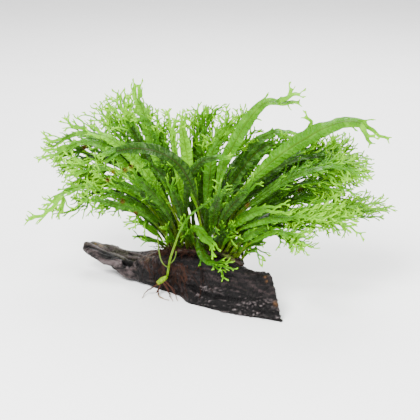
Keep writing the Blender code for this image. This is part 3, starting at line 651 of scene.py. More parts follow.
# %% Routes of the fronds
FRONDS = [
    ("11", FRONT, -30, -0.48, 5.5, 40,
     [(-39, -23), (-46, -16), (-54, -10)],
     [[(-58, -5), (-62, -1)], [(-60, -9), (-66, -9)]],
     []),
    ("09", FRONT, -25, -0.36, 7, 40,
     [(-34, -22), (-42, -13), (-52, -3), (-64, 2), (-76, 5), (-87, 7)],
     [[(-98, 8), (-108, 9)], [(-88, 3), (-92, 0)]],
     [(0.55, [(-58, -6), (-62, -10)])]),
    ("42", FRONT, -20, -0.28, 7, 35,
     [(-34, -14), (-43, 1), (-54, 12), (-66, 19)],
     [[(-74, 25), (-78, 30)], [(-77, 19), (-84, 21)], [(-71, 26), (-70, 32)]],
     []),
    ("43", FRONT, -15, -0.62, 7, 35,
     [(-29, -14), (-36, 2), (-45, 13), (-54, 22)],
     [[(-59, 28), (-63, 35)], [(-62, 23), (-67, 26)]],
     []),
    ("46", FRONT, -11, -0.55, 7, 20,
     [(-22, -14), (-24, 2), (-29, 13)],
     [[(-33, 20), (-34, 26)], [(-30, 21), (-28, 27)]],
     []),
    ("30", FRONT, -7, -1.10, 6.5, 30,
     [(-19, -24), (-16, -17), (-10, -15), (-5, -21), (1, -26)],
     [[(5, -29), (8, -32)], [(2, -32), (3, -38)]],
     []),
    ("32", FRONT, -4, -1.15, 6.5, 20,
     [(-13, -26), (-11, -22), (-8, -26), (-6, -34), (-2, -41)],
     [[(6, -46), (13, -57)], [(10, -45), (22, -48)], [(8, -42), (18, -42)]],
     []),
    ("47", FRONT, 12, -1.50, 8, 20,
     [(2, -16), (3, -2), (7, 9)],
     [[(11, 16), (16, 21)], [(8, 17), (7, 23)]],
     []),
    ("48", FRONT, 16, -0.75, 8, 25,
     [(5, -18), (12, -4), (20, 6), (29, 14)],
     [[(35, 19), (42, 22)], [(33, 21), (34, 27)]],
     []),
    ("40", FRONT, 20, -0.58, 9, 35,
     [(9, -23), (17, -13), (29, -4), (43, 1)],
     [[(54, 3), (62, 6)], [(56, -2), (65, -2)]],
     []),
    ("31", FRONT, 25, -1.70, 4, 30,
     [(10, -30), (12, -26), (15, -22)],
     [[(16, -15), (19, -8)], [(18, -25), (22, -31)], [(19, -21), (26, -22)]],
     []),
    ("25", FRONT, 30, -0.52, 7, 35,
     [(20, -19), (33, -11), (48, -7), (66, -6)],
     [[(82, -3), (96, 3)], [(84, -6), (100, -6)], [(80, -10), (93, -10)]],
     []),
    ("24", FRONT, 34, -0.28, 5, 35,
     [(26, -21), (44, -13), (62, -8), (82, -6)],
     [[(99, -7), (112, -14), (125, -22)], [(100, -6), (112, -6), (119, -2)], [(98, -10), (108, -14), (111, -19)]],
     []),
    ("41", FRONT, 37, -0.48, 9, 35,
     [(24, -27), (34, -18), (46, -13)],
     [[(56, -10), (64, -10)], [(55, -15), (62, -18)]],
     []),
    ("26", FRONT, 40, -1.00, 6.5, 45,
     [(29, -29), (42, -21), (53, -17), (62, -19)],
     [[(70, -26), (77, -35)], [(74, -22), (85, -22)], [(71, -20), (81, -16)], [(74, -27), (85, -30)]],
     []),
    ("29", FRONT, 44, -0.50, 3, 30,
     [(30, -34), (37, -31)],
     [[(42, -33), (46, -35)], [(38, -37), (41, -40)]],
     []),
    ("08", MIDDLE, -30, -0.12, 5, 30,
     [(-40, -9), (-51, 5), (-66, 15), (-82, 20), (-98, 19), (-111, 17), (-118, 13)],
     [[(-126, 2), (-136, -5), (-150, -7)], [(-118, 3), (-122, -2)], [(-126, 7), (-130, 9)]],
     []),
    ("07", MIDDLE, -26, 0.02, 5.5, 30,
     [(-38, -2), (-50, 14), (-66, 27), (-82, 33), (-94, 34)],
     [[(-106, 35), (-123, 35)], [(-104, 30), (-118, 26)], [(-104, 40), (-115, 44)], [(-101, 27), (-110, 22)]],
     []),
    ("10", MIDDLE, -22, -0.24, 5.5, 30,
     [(-30, -18), (-42, -7), (-54, 3), (-67, 10), (-78, 14)],
     [[(-90, 16), (-98, 19)], [(-87, 11), (-96, 10)]],
     []),
    ("05", MIDDLE, -17, 0.14, 9, 35,
     [(-27, -6), (-42, 18), (-56, 36), (-69, 49), (-78, 56), (-86, 60)],
     [[(-91, 64), (-94, 70)], [(-92, 59), (-99, 63)]],
     []),
    ("33", MIDDLE, -12, -0.06, 9.5, 20,
     [(-22, -3), (-27, 20), (-34, 44), (-42, 61), (-50, 71)],
     [[(-58, 77), (-61, 82)], [(-56, 72), (-63, 74)]],
     []),
    ("45", MIDDLE, -8, -0.20, 8, 25,
     [(-20, -6), (-27, 13), (-36, 26), (-46, 35)],
     [[(-54, 40), (-59, 45)], [(-55, 34), (-62, 34)]],
     []),
    ("12", MIDDLE, -3, -0.12, 5.5, 10,
     [(-17, -6), (-23, 16), (-27, 40), (-29, 58)],
     [[(-29, 67), (-26, 74)], [(-32, 70), (-34, 80)]],
     []),
    ("16", MIDDLE, 1, -0.30, 7, 30,
     [(-18, -4), (-18, 14), (-14, 30), (-6, 39), (4, 42)],
     [[(11, 42), (18, 42)]],
     []),
    ("13", MIDDLE, 3, -0.02, 9.5, 12,
     [(-8, -8), (-13, 14), (-17, 36), (-20, 54), (-22, 66)],
     [[(-20, 74), (-18, 78)], [(-23, 74), (-25, 78)]],
     []),
    ("15", MIDDLE, 6, 0.02, 9.5, 15,
     [(-1, -10), (-2, 8), (0, 29), (2, 46), (7, 55)],
     [[(10, 66), (6, 73)], [(14, 70), (14, 82)], [(18, 68), (22, 75)], [(22, 70), (28, 82)]],
     []),
    ("06", MIDDLE, 10, -0.38, 9.5, 50,
     [(-6, -10), (-11, 10), (-18, 26), (-26, 37), (-37, 44), (-49, 48), (-62, 49), (-74, 47)],
     [[(-82, 46), (-88, 42)], [(-80, 42), (-85, 36)]],
     []),
    ("17", MIDDLE, 14, -0.12, 11, 20,
     [(2, -4), (6, 18), (11, 37), (19, 52), (27, 66), (35, 77), (45, 86), (54, 86)],
     [[(62, 90), (67, 99)], [(66, 92), (74, 93)], [(63, 86), (74, 86)]],
     []),
    ("19", MIDDLE, 18, -0.26, 10.5, 35,
     [(11, -8), (20, 10), (31, 22), (45, 35), (60, 47), (76, 57), (92, 66), (108, 71), (120, 70)],
     [[(132, 62), (146, 55)], [(125, 61), (134, 58)], [(126, 58), (129, 51)]],
     [(0.78, [(81, 70), (75, 77)])]),
    ("20", MIDDLE, 22, 0.03, 8, 40,
     [(16, -4), (26, 12), (40, 24), (55, 34), (70, 40), (86, 42)],
     [[(98, 50), (99, 58)], [(102, 48), (112, 57)], [(106, 42), (128, 42)], [(104, 38), (130, 32)]],
     [(0.80, [(82, 50), (80, 58)])]),
    ("21", MIDDLE, 26, -0.22, 5.5, 35,
     [(22, -6), (38, 8), (56, 21), (74, 30), (90, 34)],
     [[(106, 34), (120, 27), (127, 26)], [(108, 37), (125, 37)], [(102, 28), (116, 26)]],
     []),
    ("38", MIDDLE, 29, 0.04, 5.5, 35,
     [(28, -14), (42, -2), (58, 6), (72, 9)],
     [[(83, 14), (88, 19)], [(85, 10), (96, 12)], [(83, 5), (93, 3)]],
     []),
    ("23", MIDDLE, 32, -0.02, 5.5, 35,
     [(32, -18), (52, -6), (72, -1), (92, 1)],
     [[(108, 2), (118, 8), (131, 12)], [(110, 2), (128, 5), (142, 7)], [(112, 0), (132, 1), (149, 2)]],
     []),
    ("39", MIDDLE, 35, -0.32, 5.5, 35,
     [(34, -19), (50, -10), (67, -2), (83, 2)],
     [[(94, 8), (101, 9)], [(96, 2), (106, 4)], [(93, -2), (102, -3)]],
     []),
    ("27", MIDDLE, 39, 0.30, 7, 30,
     [(34, -24), (43, -12), (55, 0), (68, 10)],
     [[(79, 17), (90, 23)], [(82, 14), (90, 15)]],
     []),
    ("55", BACK, -32, 0.75, 7, 30,
     [(-34, -13), (-45, -2), (-59, 6), (-74, 11)],
     [[(-84, 15), (-93, 16)], [(-82, 11), (-90, 10)]],
     []),
    ("03", BACK, -28, 0.62, 6.5, 30,
     [(-32, 4), (-42, 28), (-51, 46), (-62, 60), (-73, 66), (-80, 69)],
     [[(-89, 72), (-103, 78)], [(-86, 78), (-90, 84)], [(-82, 77), (-80, 80)]],
     []),
    ("04b", BACK, -25, 0.10, 6.5, 40,
     [(-36, -5), (-50, 14), (-66, 34), (-80, 48), (-93, 54), (-104, 54), (-114, 50)],
     [[(-125, 44), (-137, 42)], [(-123, 49), (-134, 47)], [(-120, 42), (-126, 37)]],
     []),
    ("04", BACK, -22, 0.22, 6.5, 35,
     [(-36, 0), (-50, 24), (-67, 46), (-83, 57), (-98, 61), (-108, 61), (-117, 57)],
     [[(-125, 55), (-134, 58)], [(-123, 52), (-131, 50)]],
     [(0.84, [(-111, 68), (-114, 72)])]),
    ("44", BACK, -19, 0.50, 7, 35,
     [(-29, -2), (-42, 19), (-56, 35), (-69, 44)],
     [[(-78, 49), (-87, 51)], [(-78, 44), (-85, 42)]],
     []),
    ("02", BACK, -15, 0.30, 6.5, 20,
     [(-32, 4), (-44, 32), (-55, 54), (-63, 69), (-67, 76)],
     [[(-74, 85), (-82, 91)], [(-72, 87), (-74, 96)], [(-69, 86), (-66, 94)], [(-63, 82), (-62, 90)]],
     [(0.86, [(-78, 82), (-85, 85)])]),
    ("01", BACK, -11, 0.05, 9.5, 25,
     [(-26, -4), (-36, 24), (-44, 48), (-50, 67), (-54, 81), (-58, 88)],
     [[(-61, 95), (-58, 102)], [(-56, 94), (-57, 102)]],
     []),
    ("51", BACK, -7, 0.85, 8, 20,
     [(-14, -3), (-22, 14), (-30, 30), (-39, 42)],
     [[(-46, 48), (-51, 51)], [(-43, 50), (-44, 56)]],
     []),
    ("57", BACK, -3, 1.70, 7, 15,
     [(-7, -10), (-10, 3), (-15, 13)],
     [[(-18, 19), (-22, 24)], [(-15, 20), (-14, 26)]],
     []),
    ("14", BACK, 1, 0.10, 6.5, 10,
     [(-3, -6), (-6, 16), (-7, 38), (-6, 54), (-4, 66)],
     [[(-10, 77), (-14, 82)], [(-6, 77), (-3, 82)], [(1, 77), (2, 82)], [(3, 77), (11, 84)]],
     [(0.80, [(-11, 67), (-14, 74)])]),
    ("52", BACK, 6, 1.00, 8, 10,
     [(-3, -2), (-3, 18), (-2, 34), (1, 46)],
     [[(0, 54), (-3, 61)], [(3, 54), (6, 59)]],
     []),
    ("58", BACK, 10, 1.70, 7, 15,
     [(3, -11), (6, 2), (11, 11)],
     [[(14, 18), (18, 22)], [(12, 18), (10, 24)]],
     []),
    ("53", BACK, 13, 0.85, 8, 20,
     [(6, -2), (10, 16), (16, 30), (23, 42)],
     [[(29, 48), (32, 54)], [(31, 46), (38, 49)]],
     []),
    ("18", BACK, 16, 0.30, 6.5, 40,
     [(12, 4), (19, 26), (29, 44), (40, 56), (52, 62)],
     [[(64, 62), (77, 59)], [(62, 58), (72, 56)]],
     []),
    ("37", BACK, 20, 0.40, 6.5, 30,
     [(17, 2), (24, 21), (34, 36), (43, 46)],
     [[(51, 51), (61, 54)], [(48, 54), (52, 58)], [(53, 46), (64, 47)]],
     []),
    ("54", BACK, 23, 0.70, 7, 30,
     [(19, -5), (29, 10), (42, 21), (56, 28)],
     [[(66, 33), (74, 34)], [(64, 35), (69, 41)]],
     []),
    ("35", BACK, 27, 0.16, 7, 35,
     [(21, -2), (30, 16), (43, 29), (59, 38)],
     [[(72, 46), (78, 53)], [(74, 40), (83, 42)]],
     []),
    ("22", BACK, 30, 0.12, 5, 35,
     [(26, -10), (44, 4), (62, 14), (78, 19)],
     [[(92, 21), (114, 22)], [(96, 24), (112, 28)], [(92, 18), (106, 10)]],
     []),
    ("56", BACK, 34, 0.85, 7, 30,
     [(30, -16), (42, -6), (56, 1)],
     [[(65, 6), (73, 6)], [(63, 2), (70, -2)]],
     []),
]
YOUNG_FOOT = Vector((-26.6, -16.9, 16.1)) + SLAB_MIDDLE
YOUNG_FROND = (
    -0.45, 1.9, 20,
    [(-32, -40), (-28.5, -29), (-23.5, -16), (-16.5, -5), (-8, 2), (3, 9), (14, 13)],
    [[(22, 16), (29, 14)], [(20, 19), (26, 22)]],
    [],
)
print(len(FRONDS) + 1, "fronds")

# %% The midrib of a frond
ROUTE_STEPS = 8
LEAN_RAMP = 14.0
STEEPEST = 0.3
FINGER_SLANT = 0.25


def midrib(route, foot, lean):
    """Close-set points along a frond's midrib, from the route that it takes in the front view."""
    seen = [seen_at(foot)] + [Vector(point) for point in route]
    line = [foot.copy()]
    gone = 0.0
    previous = seen[0]
    for step in range(1, ROUTE_STEPS * (len(seen) - 1) + 1):
        point = smooth_between(seen, step / ROUTE_STEPS)
        gone += (point - previous).length
        previous = point
        line.append(on_sight_line(point, foot.y + lean * gone * gone / (gone + LEAN_RAMP)))
    return line


def line_length(line):
    return sum((after - here).length for here, after in zip(line, line[1:]))


def place_along(line, share):
    """The point at a share of a line's length, and the line's direction there."""
    lengths = [(line[i + 1] - line[i]).length for i in range(len(line) - 1)]
    left = share * sum(lengths)
    for index, length in enumerate(lengths):
        if left <= length or index == len(lengths) - 1:
            step = line[index + 1] - line[index]
            return line[index] + step * min(left / length, 1), step.normalized()
        left -= length


def across_blade(direction, roll, twist):
    """The unit vector from a blade's midrib to its left edge."""
    left = direction.cross(VIEW_FORWARD).normalized()
    away = left.cross(direction)
    angle = math.radians(roll * direction.x + twist)
    return left * math.cos(angle) + away * math.sin(angle)


def turn_left(heading, towards):
    """The angle in the front view from heading to towards, positive to the left."""
    return math.atan2(heading.x * towards.y - heading.y * towards.x, heading.dot(towards))


print("midrib helpers ready")

# %% [markdown]
# The shader needs to know where on a frond it is. Each corner of the sheet therefore carries a
# few numbers: how far across the blade it lies, how far along it, how near the tip, and how
# light or dead the frond is. A small class keeps the sheet, writes these numbers, and grows
# the sheet by extruding a chain of its edge.

# %% A frond's sheet
class Sheet:
    """A mesh of fronds as it grows, with the numbers that their finish reads."""

    NUMBERS = ("across", "run", "reach", "tone")

    def __init__(self, tone, broad=1.0):
        self.mesh = bmesh.new()
        self.tone = tone
        self.broad = broad
        layers = self.mesh.verts.layers
        self.numbers = {name: layers.float.new(name) for name in self.NUMBERS}
        self.dead = layers.float.new("dead")
        self.weights = layers.deform.verify()

    def mark(self, corner, across, run, reach, thickness):
        for name, value in zip(self.NUMBERS, (across, run, reach, self.tone)):
            corner[self.numbers[name]] = value
        corner[self.weights][0] = thickness

    def extend(self, chain, places):
        """Extrudes the edges along a chain of corners and puts the new corners at places."""
        edges = [self.mesh.edges.get(pair) for pair in zip(chain, chain[1:])]
        grown = bmesh.ops.extrude_edge_only(self.mesh, edges=edges)["geom"]
        fresh = {item for item in grown if isinstance(item, bmesh.types.BMVert)}
        new = [next(e.other_vert(c) for e in c.link_edges if e.other_vert(c) in fresh) for c in chain]
        for corner, place in zip(new, places):
            corner.co = place
        return new


print("sheet ready")

# %% Twigs
def turned(heading, left, side, angle):
    """A heading turned by an angle to one side, in the plane of heading and left."""
    return (heading * math.cos(angle) + left * side * math.sin(angle)).normalized()


TWIG_STEP = 2.4
TWIG_WIDTH = 1.7
TWIG_END = 0.8
SNAKE_LENGTH = 11.0
SNAKE_TURN = 0.5


def grow_twig(sheet, ends, heading, facing, length, run, reach, rnd, forks=1):
    """Grows a winding twig from the edge between ends, which may fork on its way."""
    middle = (ends[0].co + ends[1].co) / 2
    chain = ends
    phase = rnd.uniform(0, TAU)
    lift = rnd.uniform(-0.12, 0.12)
    bend = rnd.uniform(-0.08, 0.08)
    steps = max(2, round(length / TWIG_STEP))
    fork_step = 1 + round(steps * rnd.uniform(0.3, 0.6))
    for step in range(1, steps + 1):
        share = step / steps
        left = heading.cross(facing).normalized()
        snake = SNAKE_TURN * math.cos(share * length * TAU / SNAKE_LENGTH + phase)
        heading = (heading + left * bend + facing * lift + Vector((0, 0, 0.04))).normalized()
        onward = turned(heading, left, 1, snake)
        middle = middle + onward * (length / steps)
        half = (TWIG_WIDTH + (TWIG_END - TWIG_WIDTH) * share) / 2
        old = chain
        chain = sheet.extend(chain, [middle + left * half, middle - left * half])
        for corner in chain:
            sheet.mark(corner, 0.4, run + length * share, min(1.0, reach + 0.35 * share), 0.55)
        if forks and step == fork_step and length > 4:
            side = rnd.choice((1, -1))
            prong = [old[0], chain[0]] if side > 0 else [chain[1], old[1]]
            aim = turned(heading, left, side, rnd.uniform(0.32, 0.62))
            size = (length * (1 - share) + 2.5) * rnd.uniform(0.75, 1.15)
            grow_twig(sheet, prong, aim, facing, size, run, min(1.0, reach + 0.15), rnd, forks - 1)
            bend = -side * 0.1


print("twig helper ready")

# %% [markdown]
# Rows are set at alternately long and short steps. Twigs grow from the short edges, so that
# each starts about as narrow as it goes on, while the long steps keep the number of faces down.

# %% Fingers
LONG_STEP = 3.2
SHORT_STEP = 1.3
FINGER_WIDTH = 2.8
FINGER_END = 1.4
FINGER_REACH = 0.9


def uneven_shares(length):
    """Shares of a length at alternately long and short steps."""
    pairs = max(2, round(length / (LONG_STEP + SHORT_STEP)))
    stops = [0.0]
    for pair in range(pairs):
        stops.append(stops[-1] + LONG_STEP)
        stops.append(stops[-1] + SHORT_STEP)
    return [stop / stops[-1] for stop in stops]


def grow_finger(sheet, chain, places, facing, run, lace, rnd):
    """Grows a finger through places from a chain of edges, with twigs along both its sides."""
    route = [sum((corner.co for corner in chain), Vector()) / len(chain)] + places
    length = line_length(route)
    shares = uneven_shares(length)
    side = rnd.choice((1, -1))
    phase = rnd.uniform(0, TAU)
    for step, share in enumerate(shares[1:], 1):
        position = share * FINGER_REACH * (len(route) - 1)
        place = smooth_between(route, position)
        ahead = smooth_between(route, min(position + 0.1, len(route) - 1))
        behind = smooth_between(route, max(position - 0.1, 0))
        heading = (ahead - behind).normalized()
        left = heading.cross(facing).normalized()
        sway = 0.7 * math.sin(share * length * TAU / 13 + phase) * min(1, 4 * share)
        half = (FINGER_WIDTH + (FINGER_END - FINGER_WIDTH) * share) * sheet.broad / 2
        old = chain
        spread = [1 - 2 * i / (len(chain) - 1) for i in range(len(chain))]
        chain = sheet.extend(chain, [place + left * (half * s + sway) for s in spread])
        reach = 0.6 + 0.3 * share
        for corner, s in zip(chain, spread):
            sheet.mark(corner, 0.35 * s, run + length * share, reach, 0.7)
        last = step == len(shares) - 1
        if step % 2 == 0 and (last or rnd.random() < lace):
            side = -side
            for aim_side in (side, -side) if last or rnd.random() < 0.25 * lace else (side,):
                ends = [old[0], chain[0]] if aim_side > 0 else [chain[-1], old[-1]]
                aim = turned(heading, left, aim_side, rnd.uniform(0.25, 0.6))
                size = rnd.uniform(8.5, 18.5) * (1.1 - 0.7 * share) * (0.5 + 0.5 * lace)
                forks = 2 if size > 11 else 1
                grow_twig(sheet, ends, aim, facing, size, run + length * share, reach, rnd, forks)


def stops_of_finger(points, start, slope):
    """A finger's route lifted to its depth, which changes by slope for each millimetre gone."""
    seen = seen_at(start)
    return [on_sight_line(point, start.y + slope * (Vector(point) - seen).length) for point in points]


print("finger helper ready")

# %% The blade
STALK_SHARE = 0.34
STALK_WIDTH = 1.7
BLADE_SWELL = (0.0, 0.8, 1.0, 0.95, 0.5)
TWIST = 14.0
TWIST_PACE = 2.4
COLUMNS = 4
WAVE_HEIGHT = 1.9
WAVE_LENGTH = 6.5
SCALLOP = 0.22
WOBBLE = 28.0
BLADE_THICKNESS = 1.2


def blade_width(share, widest):
    """A frond's width at a share of its length: a thin stalk, then a strap-shaped blade."""
    if share < STALK_SHARE:
        return STALK_WIDTH
    position = 4 * (share - STALK_SHARE) / (1 - STALK_SHARE)
    swell = smooth_between([Vector((s, 0)) for s in BLADE_SWELL], position).x
    return STALK_WIDTH + max(0.0, widest - STALK_WIDTH) * swell


def blade(sheet, line, roll, twist, widest, rnd):
    """Bends a grid onto a midrib as a stalk and a wavy, folded blade. Returns its rows."""
    length = line_length(line)
    shares = uneven_shares(length)
    count = len(shares) - 1
    grid = bmesh.ops.create_grid(sheet.mesh, x_segments=count, y_segments=COLUMNS, size=0.5)
    rows = [[] for share in shares]
    for corner in grid["verts"]:
        rows[round((corner.co.x + 0.5) * count)].append(corner)
    fold = rnd.uniform(0.15, 0.5) * rnd.choice((1, 1, -1))
    own = rnd.uniform(0, 50)
    for share, corners in zip(shares, rows):
        corners.sort(key=lambda corner: -corner.co.y)
        middle, direction = place_along(line, share)
        half = blade_width(share, widest) / 2
        fullness = max(0.0, (half * 2 - STALK_WIDTH) / max(1.0, widest - STALK_WIDTH))
        run = share * length
        wobble = WOBBLE * fullness * noise.noise(Vector((run / 30, own, 0)))
        left = across_blade(direction, roll, twist + wobble)
        facing = left.cross(direction)
        for column, corner in enumerate(corners):
            across = 1 - 2 * column / COLUMNS
            edge = abs(across)
            wave = noise.noise(Vector((run / WAVE_LENGTH, own, 3 * across)))
            scallop = 1 + SCALLOP * fullness * edge * noise.noise(Vector((run / 3.4, own + 9, across)))
            lift = fold * half * edge + WAVE_HEIGHT * fullness * min(1, half / 4) * edge * edge * wave
            corner.co = middle + left * (half * across * scallop) + facing * lift
            reach = 0.6 * max(0.0, (share - 0.3) / 0.7) * (0.55 + 0.45 * edge)
            thickness = 1.0 if share < STALK_SHARE else 0.75 - 0.5 * edge
            sheet.mark(corner, across, run, reach, thickness)
    return rows, middle, direction, facing, length


def lace_margins(sheet, rows, facing, length, lace, taken, rnd):
    """Grows twigs from the short edges of both margins, near the end of a blade."""
    first = (0.95 - 0.3 * lace) * (len(rows) - 1)
    for row in range(2, len(rows), 2):
        for column, side in ((0, 1), (-1, -1)):
            if row < first or (row, column) in taken or rnd.random() > 0.8 * lace:
                continue
            ends = [rows[row - 1][column], rows[row][column]]
            onward = (ends[1].co - ends[0].co).normalized()
            if side < 0:
                ends.reverse()
            left = onward.cross(facing).normalized()
            aim = turned(onward, left, side, rnd.uniform(0.3, 0.65))
            size = rnd.uniform(3.0, 11.0) * (0.4 + 0.6 * lace)
            grow_twig(sheet, ends, aim, facing, size, row / len(rows) * length, 0.5, rnd)


print("blade helper ready")

# %% [markdown]
# A few tips and margins are dead and reddish brown. Their places are given in the front view.

# %% A whole frond
DEAD_SPOTS = [
    (-63, 35), (-68, 32), (-78, 30), (-82, 24), (-100, 50), (-70, 7), (-60, -3), (72, 16),
    (30, 4), (130, 14),
]
DEAD_REACH = 4.0


def finish_fronds(name, sheet, finish, *replaced):
    """Marks the dead spots and gives a sheet of fronds its thickness and smoothness."""
    for corner in sheet.mesh.verts:
        seen = seen_at(corner.co)
        away = min((seen - Vector(spot)).length for spot in DEAD_SPOTS)
        corner[sheet.dead] = max(0.0, 1 - away / DEAD_REACH)
    piece = add_piece(name, sheet.mesh, finish, *replaced, slot="frond")
    piece.vertex_groups.new(name="thickness")
    wall = piece.modifiers.new("thickness", "SOLIDIFY")
    wall.thickness = BLADE_THICKNESS * MM
    wall.offset = 0
    wall.vertex_group = "thickness"
    rounding = piece.modifiers.new("rounding", "SUBSURF")
    rounding.levels = rounding.render_levels = 1
    return piece


def frond(sheet, twist, foot, shape, lace, rnd):
    """A frond: a blade whose end and sides divide into fingers and twigs."""
    lean, widest, roll, route, tips, sides = shape
    line = midrib(route, foot, lean)
    rows, middle, direction, facing, length = blade(sheet, line, roll, twist, widest, rnd)
    slope = direction.y / max(STEEPEST, math.hypot(direction.x, direction.z))

    end = seen_at(middle)
    heading = end - seen_at(line[-3])
    tips = sorted(tips, key=lambda tip: turn_left(heading, Vector(tip[-1]) - end), reverse=True)
    splits = {1: (0, 4), 2: (0, 2, 4), 3: (0, 1, 3, 4), 4: (0, 1, 2, 3, 4)}[len(tips)]
    for index, tip in enumerate(tips):
        chain = rows[-1][splits[index] : splits[index + 1] + 1]
        start = (chain[0].co + chain[-1].co) / 2
        slant = FINGER_SLANT * (-1) ** index
        places = stops_of_finger(tip, start, slope + slant)
        grow_finger(sheet, chain, places, facing, length, lace, rnd)

    taken = set()
    for share, points in sides:
        row = 2 * round(share * (len(rows) - 1) / 2)
        before, after = seen_at(rows[row - 1][0].co), seen_at(rows[row][0].co)
        leftward = turn_left(after - before, Vector(points[0]) - before) > 0
        column = 0 if leftward else -1
        ends = [rows[row - 1][column], rows[row][column]]
        if not leftward:
            ends.reverse()
        taken.add((row, column))
        start = (ends[0].co + ends[1].co) / 2
        grow_finger(sheet, ends, stops_of_finger(points, start, slope), facing, share * length, lace, rnd)
    lace_margins(sheet, rows, facing, length, lace, taken, rnd)


def single_frond(number, twist, foot, shape, tone, lace, seed, broad, finish, fade=0.0):
    """A frond as a piece of its own, in place of its solid. Its tip may fade in brightness."""
    sheet = Sheet(tone, broad)
    frond(sheet, twist, foot, shape, lace, random.Random(seed))
    if fade:
        reach_value, tone_value = sheet.numbers["reach"], sheet.numbers["tone"]
        for corner in sheet.mesh.verts:
            corner[tone_value] = tone - fade * min(1.0, 2 * corner[reach_value])
            corner[reach_value] *= 1 - 0.4 * fade
    return finish_fronds("fine_frond_" + number, sheet, finish, "frond_" + number)


print("frond helper ready")

# %% [markdown]
# A healthy frond is a strong mid green, paler and yellower towards its tips, with a brownish
# midrib. Its lower part is painted darker, partly as older tissue and partly as painted shade of
# the dense clump. Its side veins leave the midrib at a slant, and the surface between them is
# quilted. The finish builds the veins as waves of the run along the blade plus the distance across
# it, so that they slant towards the tip on both sides.

# %% Frond finish
VEIN_SPACING = 4.6
leaf = Finish("lace_fern_frond", roughness=0.35, Specular_IOR_Level=0.12, Coat_Roughness=0.28)
across = leaf.read("across")
side = across.size()
run = leaf.read("run")
reach = leaf.read("reach")
tone = leaf.read("tone")
mottle = leaf.speckle(leaf.place(), 0.14, detail=4.0)
flecks = leaf.speckle(leaf.place(), 0.8, detail=2.0)
warp = leaf.speckle(leaf.place(), 0.3)
vein = ((run - side * 2.6 + (warp - 0.5) * 9.0) * (TAU / VEIN_SPACING)).wave()
quilt = vein * 0.5 + 0.5
# Darker towards the foot and lighter towards the ends: partly older tissue, partly painted shade of the clump.
brightening = reach.between(0.3, 0.95) * 0.4
shade = (tone * 0.85 + brightening + (mottle - 0.5) * 0.85).held()
green = leaf.blend(shade.between(0.0, 0.5), (0.006, 0.030, 0.0), (0.034, 0.142, 0.0))
green = leaf.blend(shade.between(0.45, 1.0), green, (0.125, 0.37, 0.0))
# Painted highlight: paler green patches between the side veins, on the blade only.
green = leaf.blend(quilt * side.between(0.08, 0.4) * (1 - reach) * 0.25, green, (0.08, 0.20, 0.005))
stalk = 1 - reach.between(0.0, 0.06)
pale_stalk = leaf.blend(tone, (0.020, 0.032, 0.001), (0.14, 0.23, 0.003))
green = leaf.blend(stalk * 0.7, green, pale_stalk)
tip = reach.between(0.74, 1.06)
green = leaf.blend(tip * (0.6 + tone * 0.4), green, (0.19, 0.52, 0.0))
green = leaf.blend(reach.between(0.92, 1.1) * (0.2 + tone * 0.7), green, (0.29, 0.54, 0.0))
rib = (1 - side.between(0.04, 0.13)) * (1 - reach.between(0.4, 0.6))
green = leaf.blend(rib * 0.4, green, (0.045, 0.028, 0.003))
green = leaf.blend(flecks.between(0.66, 0.74) * 0.12, green, (0.006, 0.030, 0.0005))
green = leaf.blend(leaf.read("dead").between(0.2, 0.75) * 0.8, green, (0.075, 0.018, 0.004))
gloss = mottle.between(0.5, 0.66) * (0.1 + quilt * 0.3) * (1 - reach.between(0.45, 0.7))
leaf.feed(Base_Color=green, Roughness=0.4 - quilt * 0.14, Coat_Weight=gloss)
leaf.relief(quilt * side.between(0.05, 0.3) * 0.8 + (1 - side.between(0.0, 0.14)) * 0.6, 0.75)
print("frond finish ready")

# %% Fronds
# How light a frond's green is and how lacy its tip is, where it differs from the others. The
# low tones of the short fronds inside the clump, 45 to 58, are painted shade.
TONES = {
    "01": 0.75, "05": 0.8, "06": 0.02, "12": 0.8, "13": 1.0, "16": 0.1, "17": 0.6, "18": 0.3,
    "19": 0.6, "27": 0.85, "35": 0.8, "40": 0.55, "33": 0.3, "30": 0.55, "32": 0.15, "31": 0.55,
    "45": 0.15, "46": 0.1, "47": 0.1, "48": 0.15, "51": 0.1, "52": 0.15, "53": 0.2, "57": 0.05,
    "58": 0.05, "42": 0.25, "43": 0.2, "09": 0.3, "10": 0.35, "11": 0.5, "20": 0.15, "21": 0.3,
    "22": 0.35, "56": 0.2, "55": 0.2, "54": 0.25, "44": 0.3, "03": 0.5, "02": 0.8, "04": 0.6,
    "04b": 0.6, "07": 0.5, "08": 0.7, "23": 0.6, "24": 0.5,
}
LACE = {
    "01": 0.3, "05": 0.35, "06": 0.2, "13": 0.15, "16": 0.1, "17": 0.5, "18": 0.35, "19": 0.25,
    "33": 0.3, "40": 0.4, "41": 0.5, "45": 0.4, "46": 0.4, "47": 0.4, "48": 0.4, "51": 0.5,
    "30": 0.4, "32": 0.35, "31": 0.3, "24": 0.6,
    "57": 0.3, "58": 0.3, "52": 0.5, "20": 1.0, "21": 1.0, "22": 1.0, "23": 1.0, "25": 1.0,
}
# Fronds whose first fingers are broad straps: how much wider than the others
BROAD = {
    "01": 2.0, "04": 1.4, "04b": 1.4, "05": 1.4, "08": 1.7, "17": 2.1, "18": 2.2, "19": 1.6, "33": 1.5,
    "16": 2.0, "06": 1.8, "31": 0.7, "30": 0.75, "29": 0.6, "25": 0.8, "26": 0.8, "41": 0.8,
}
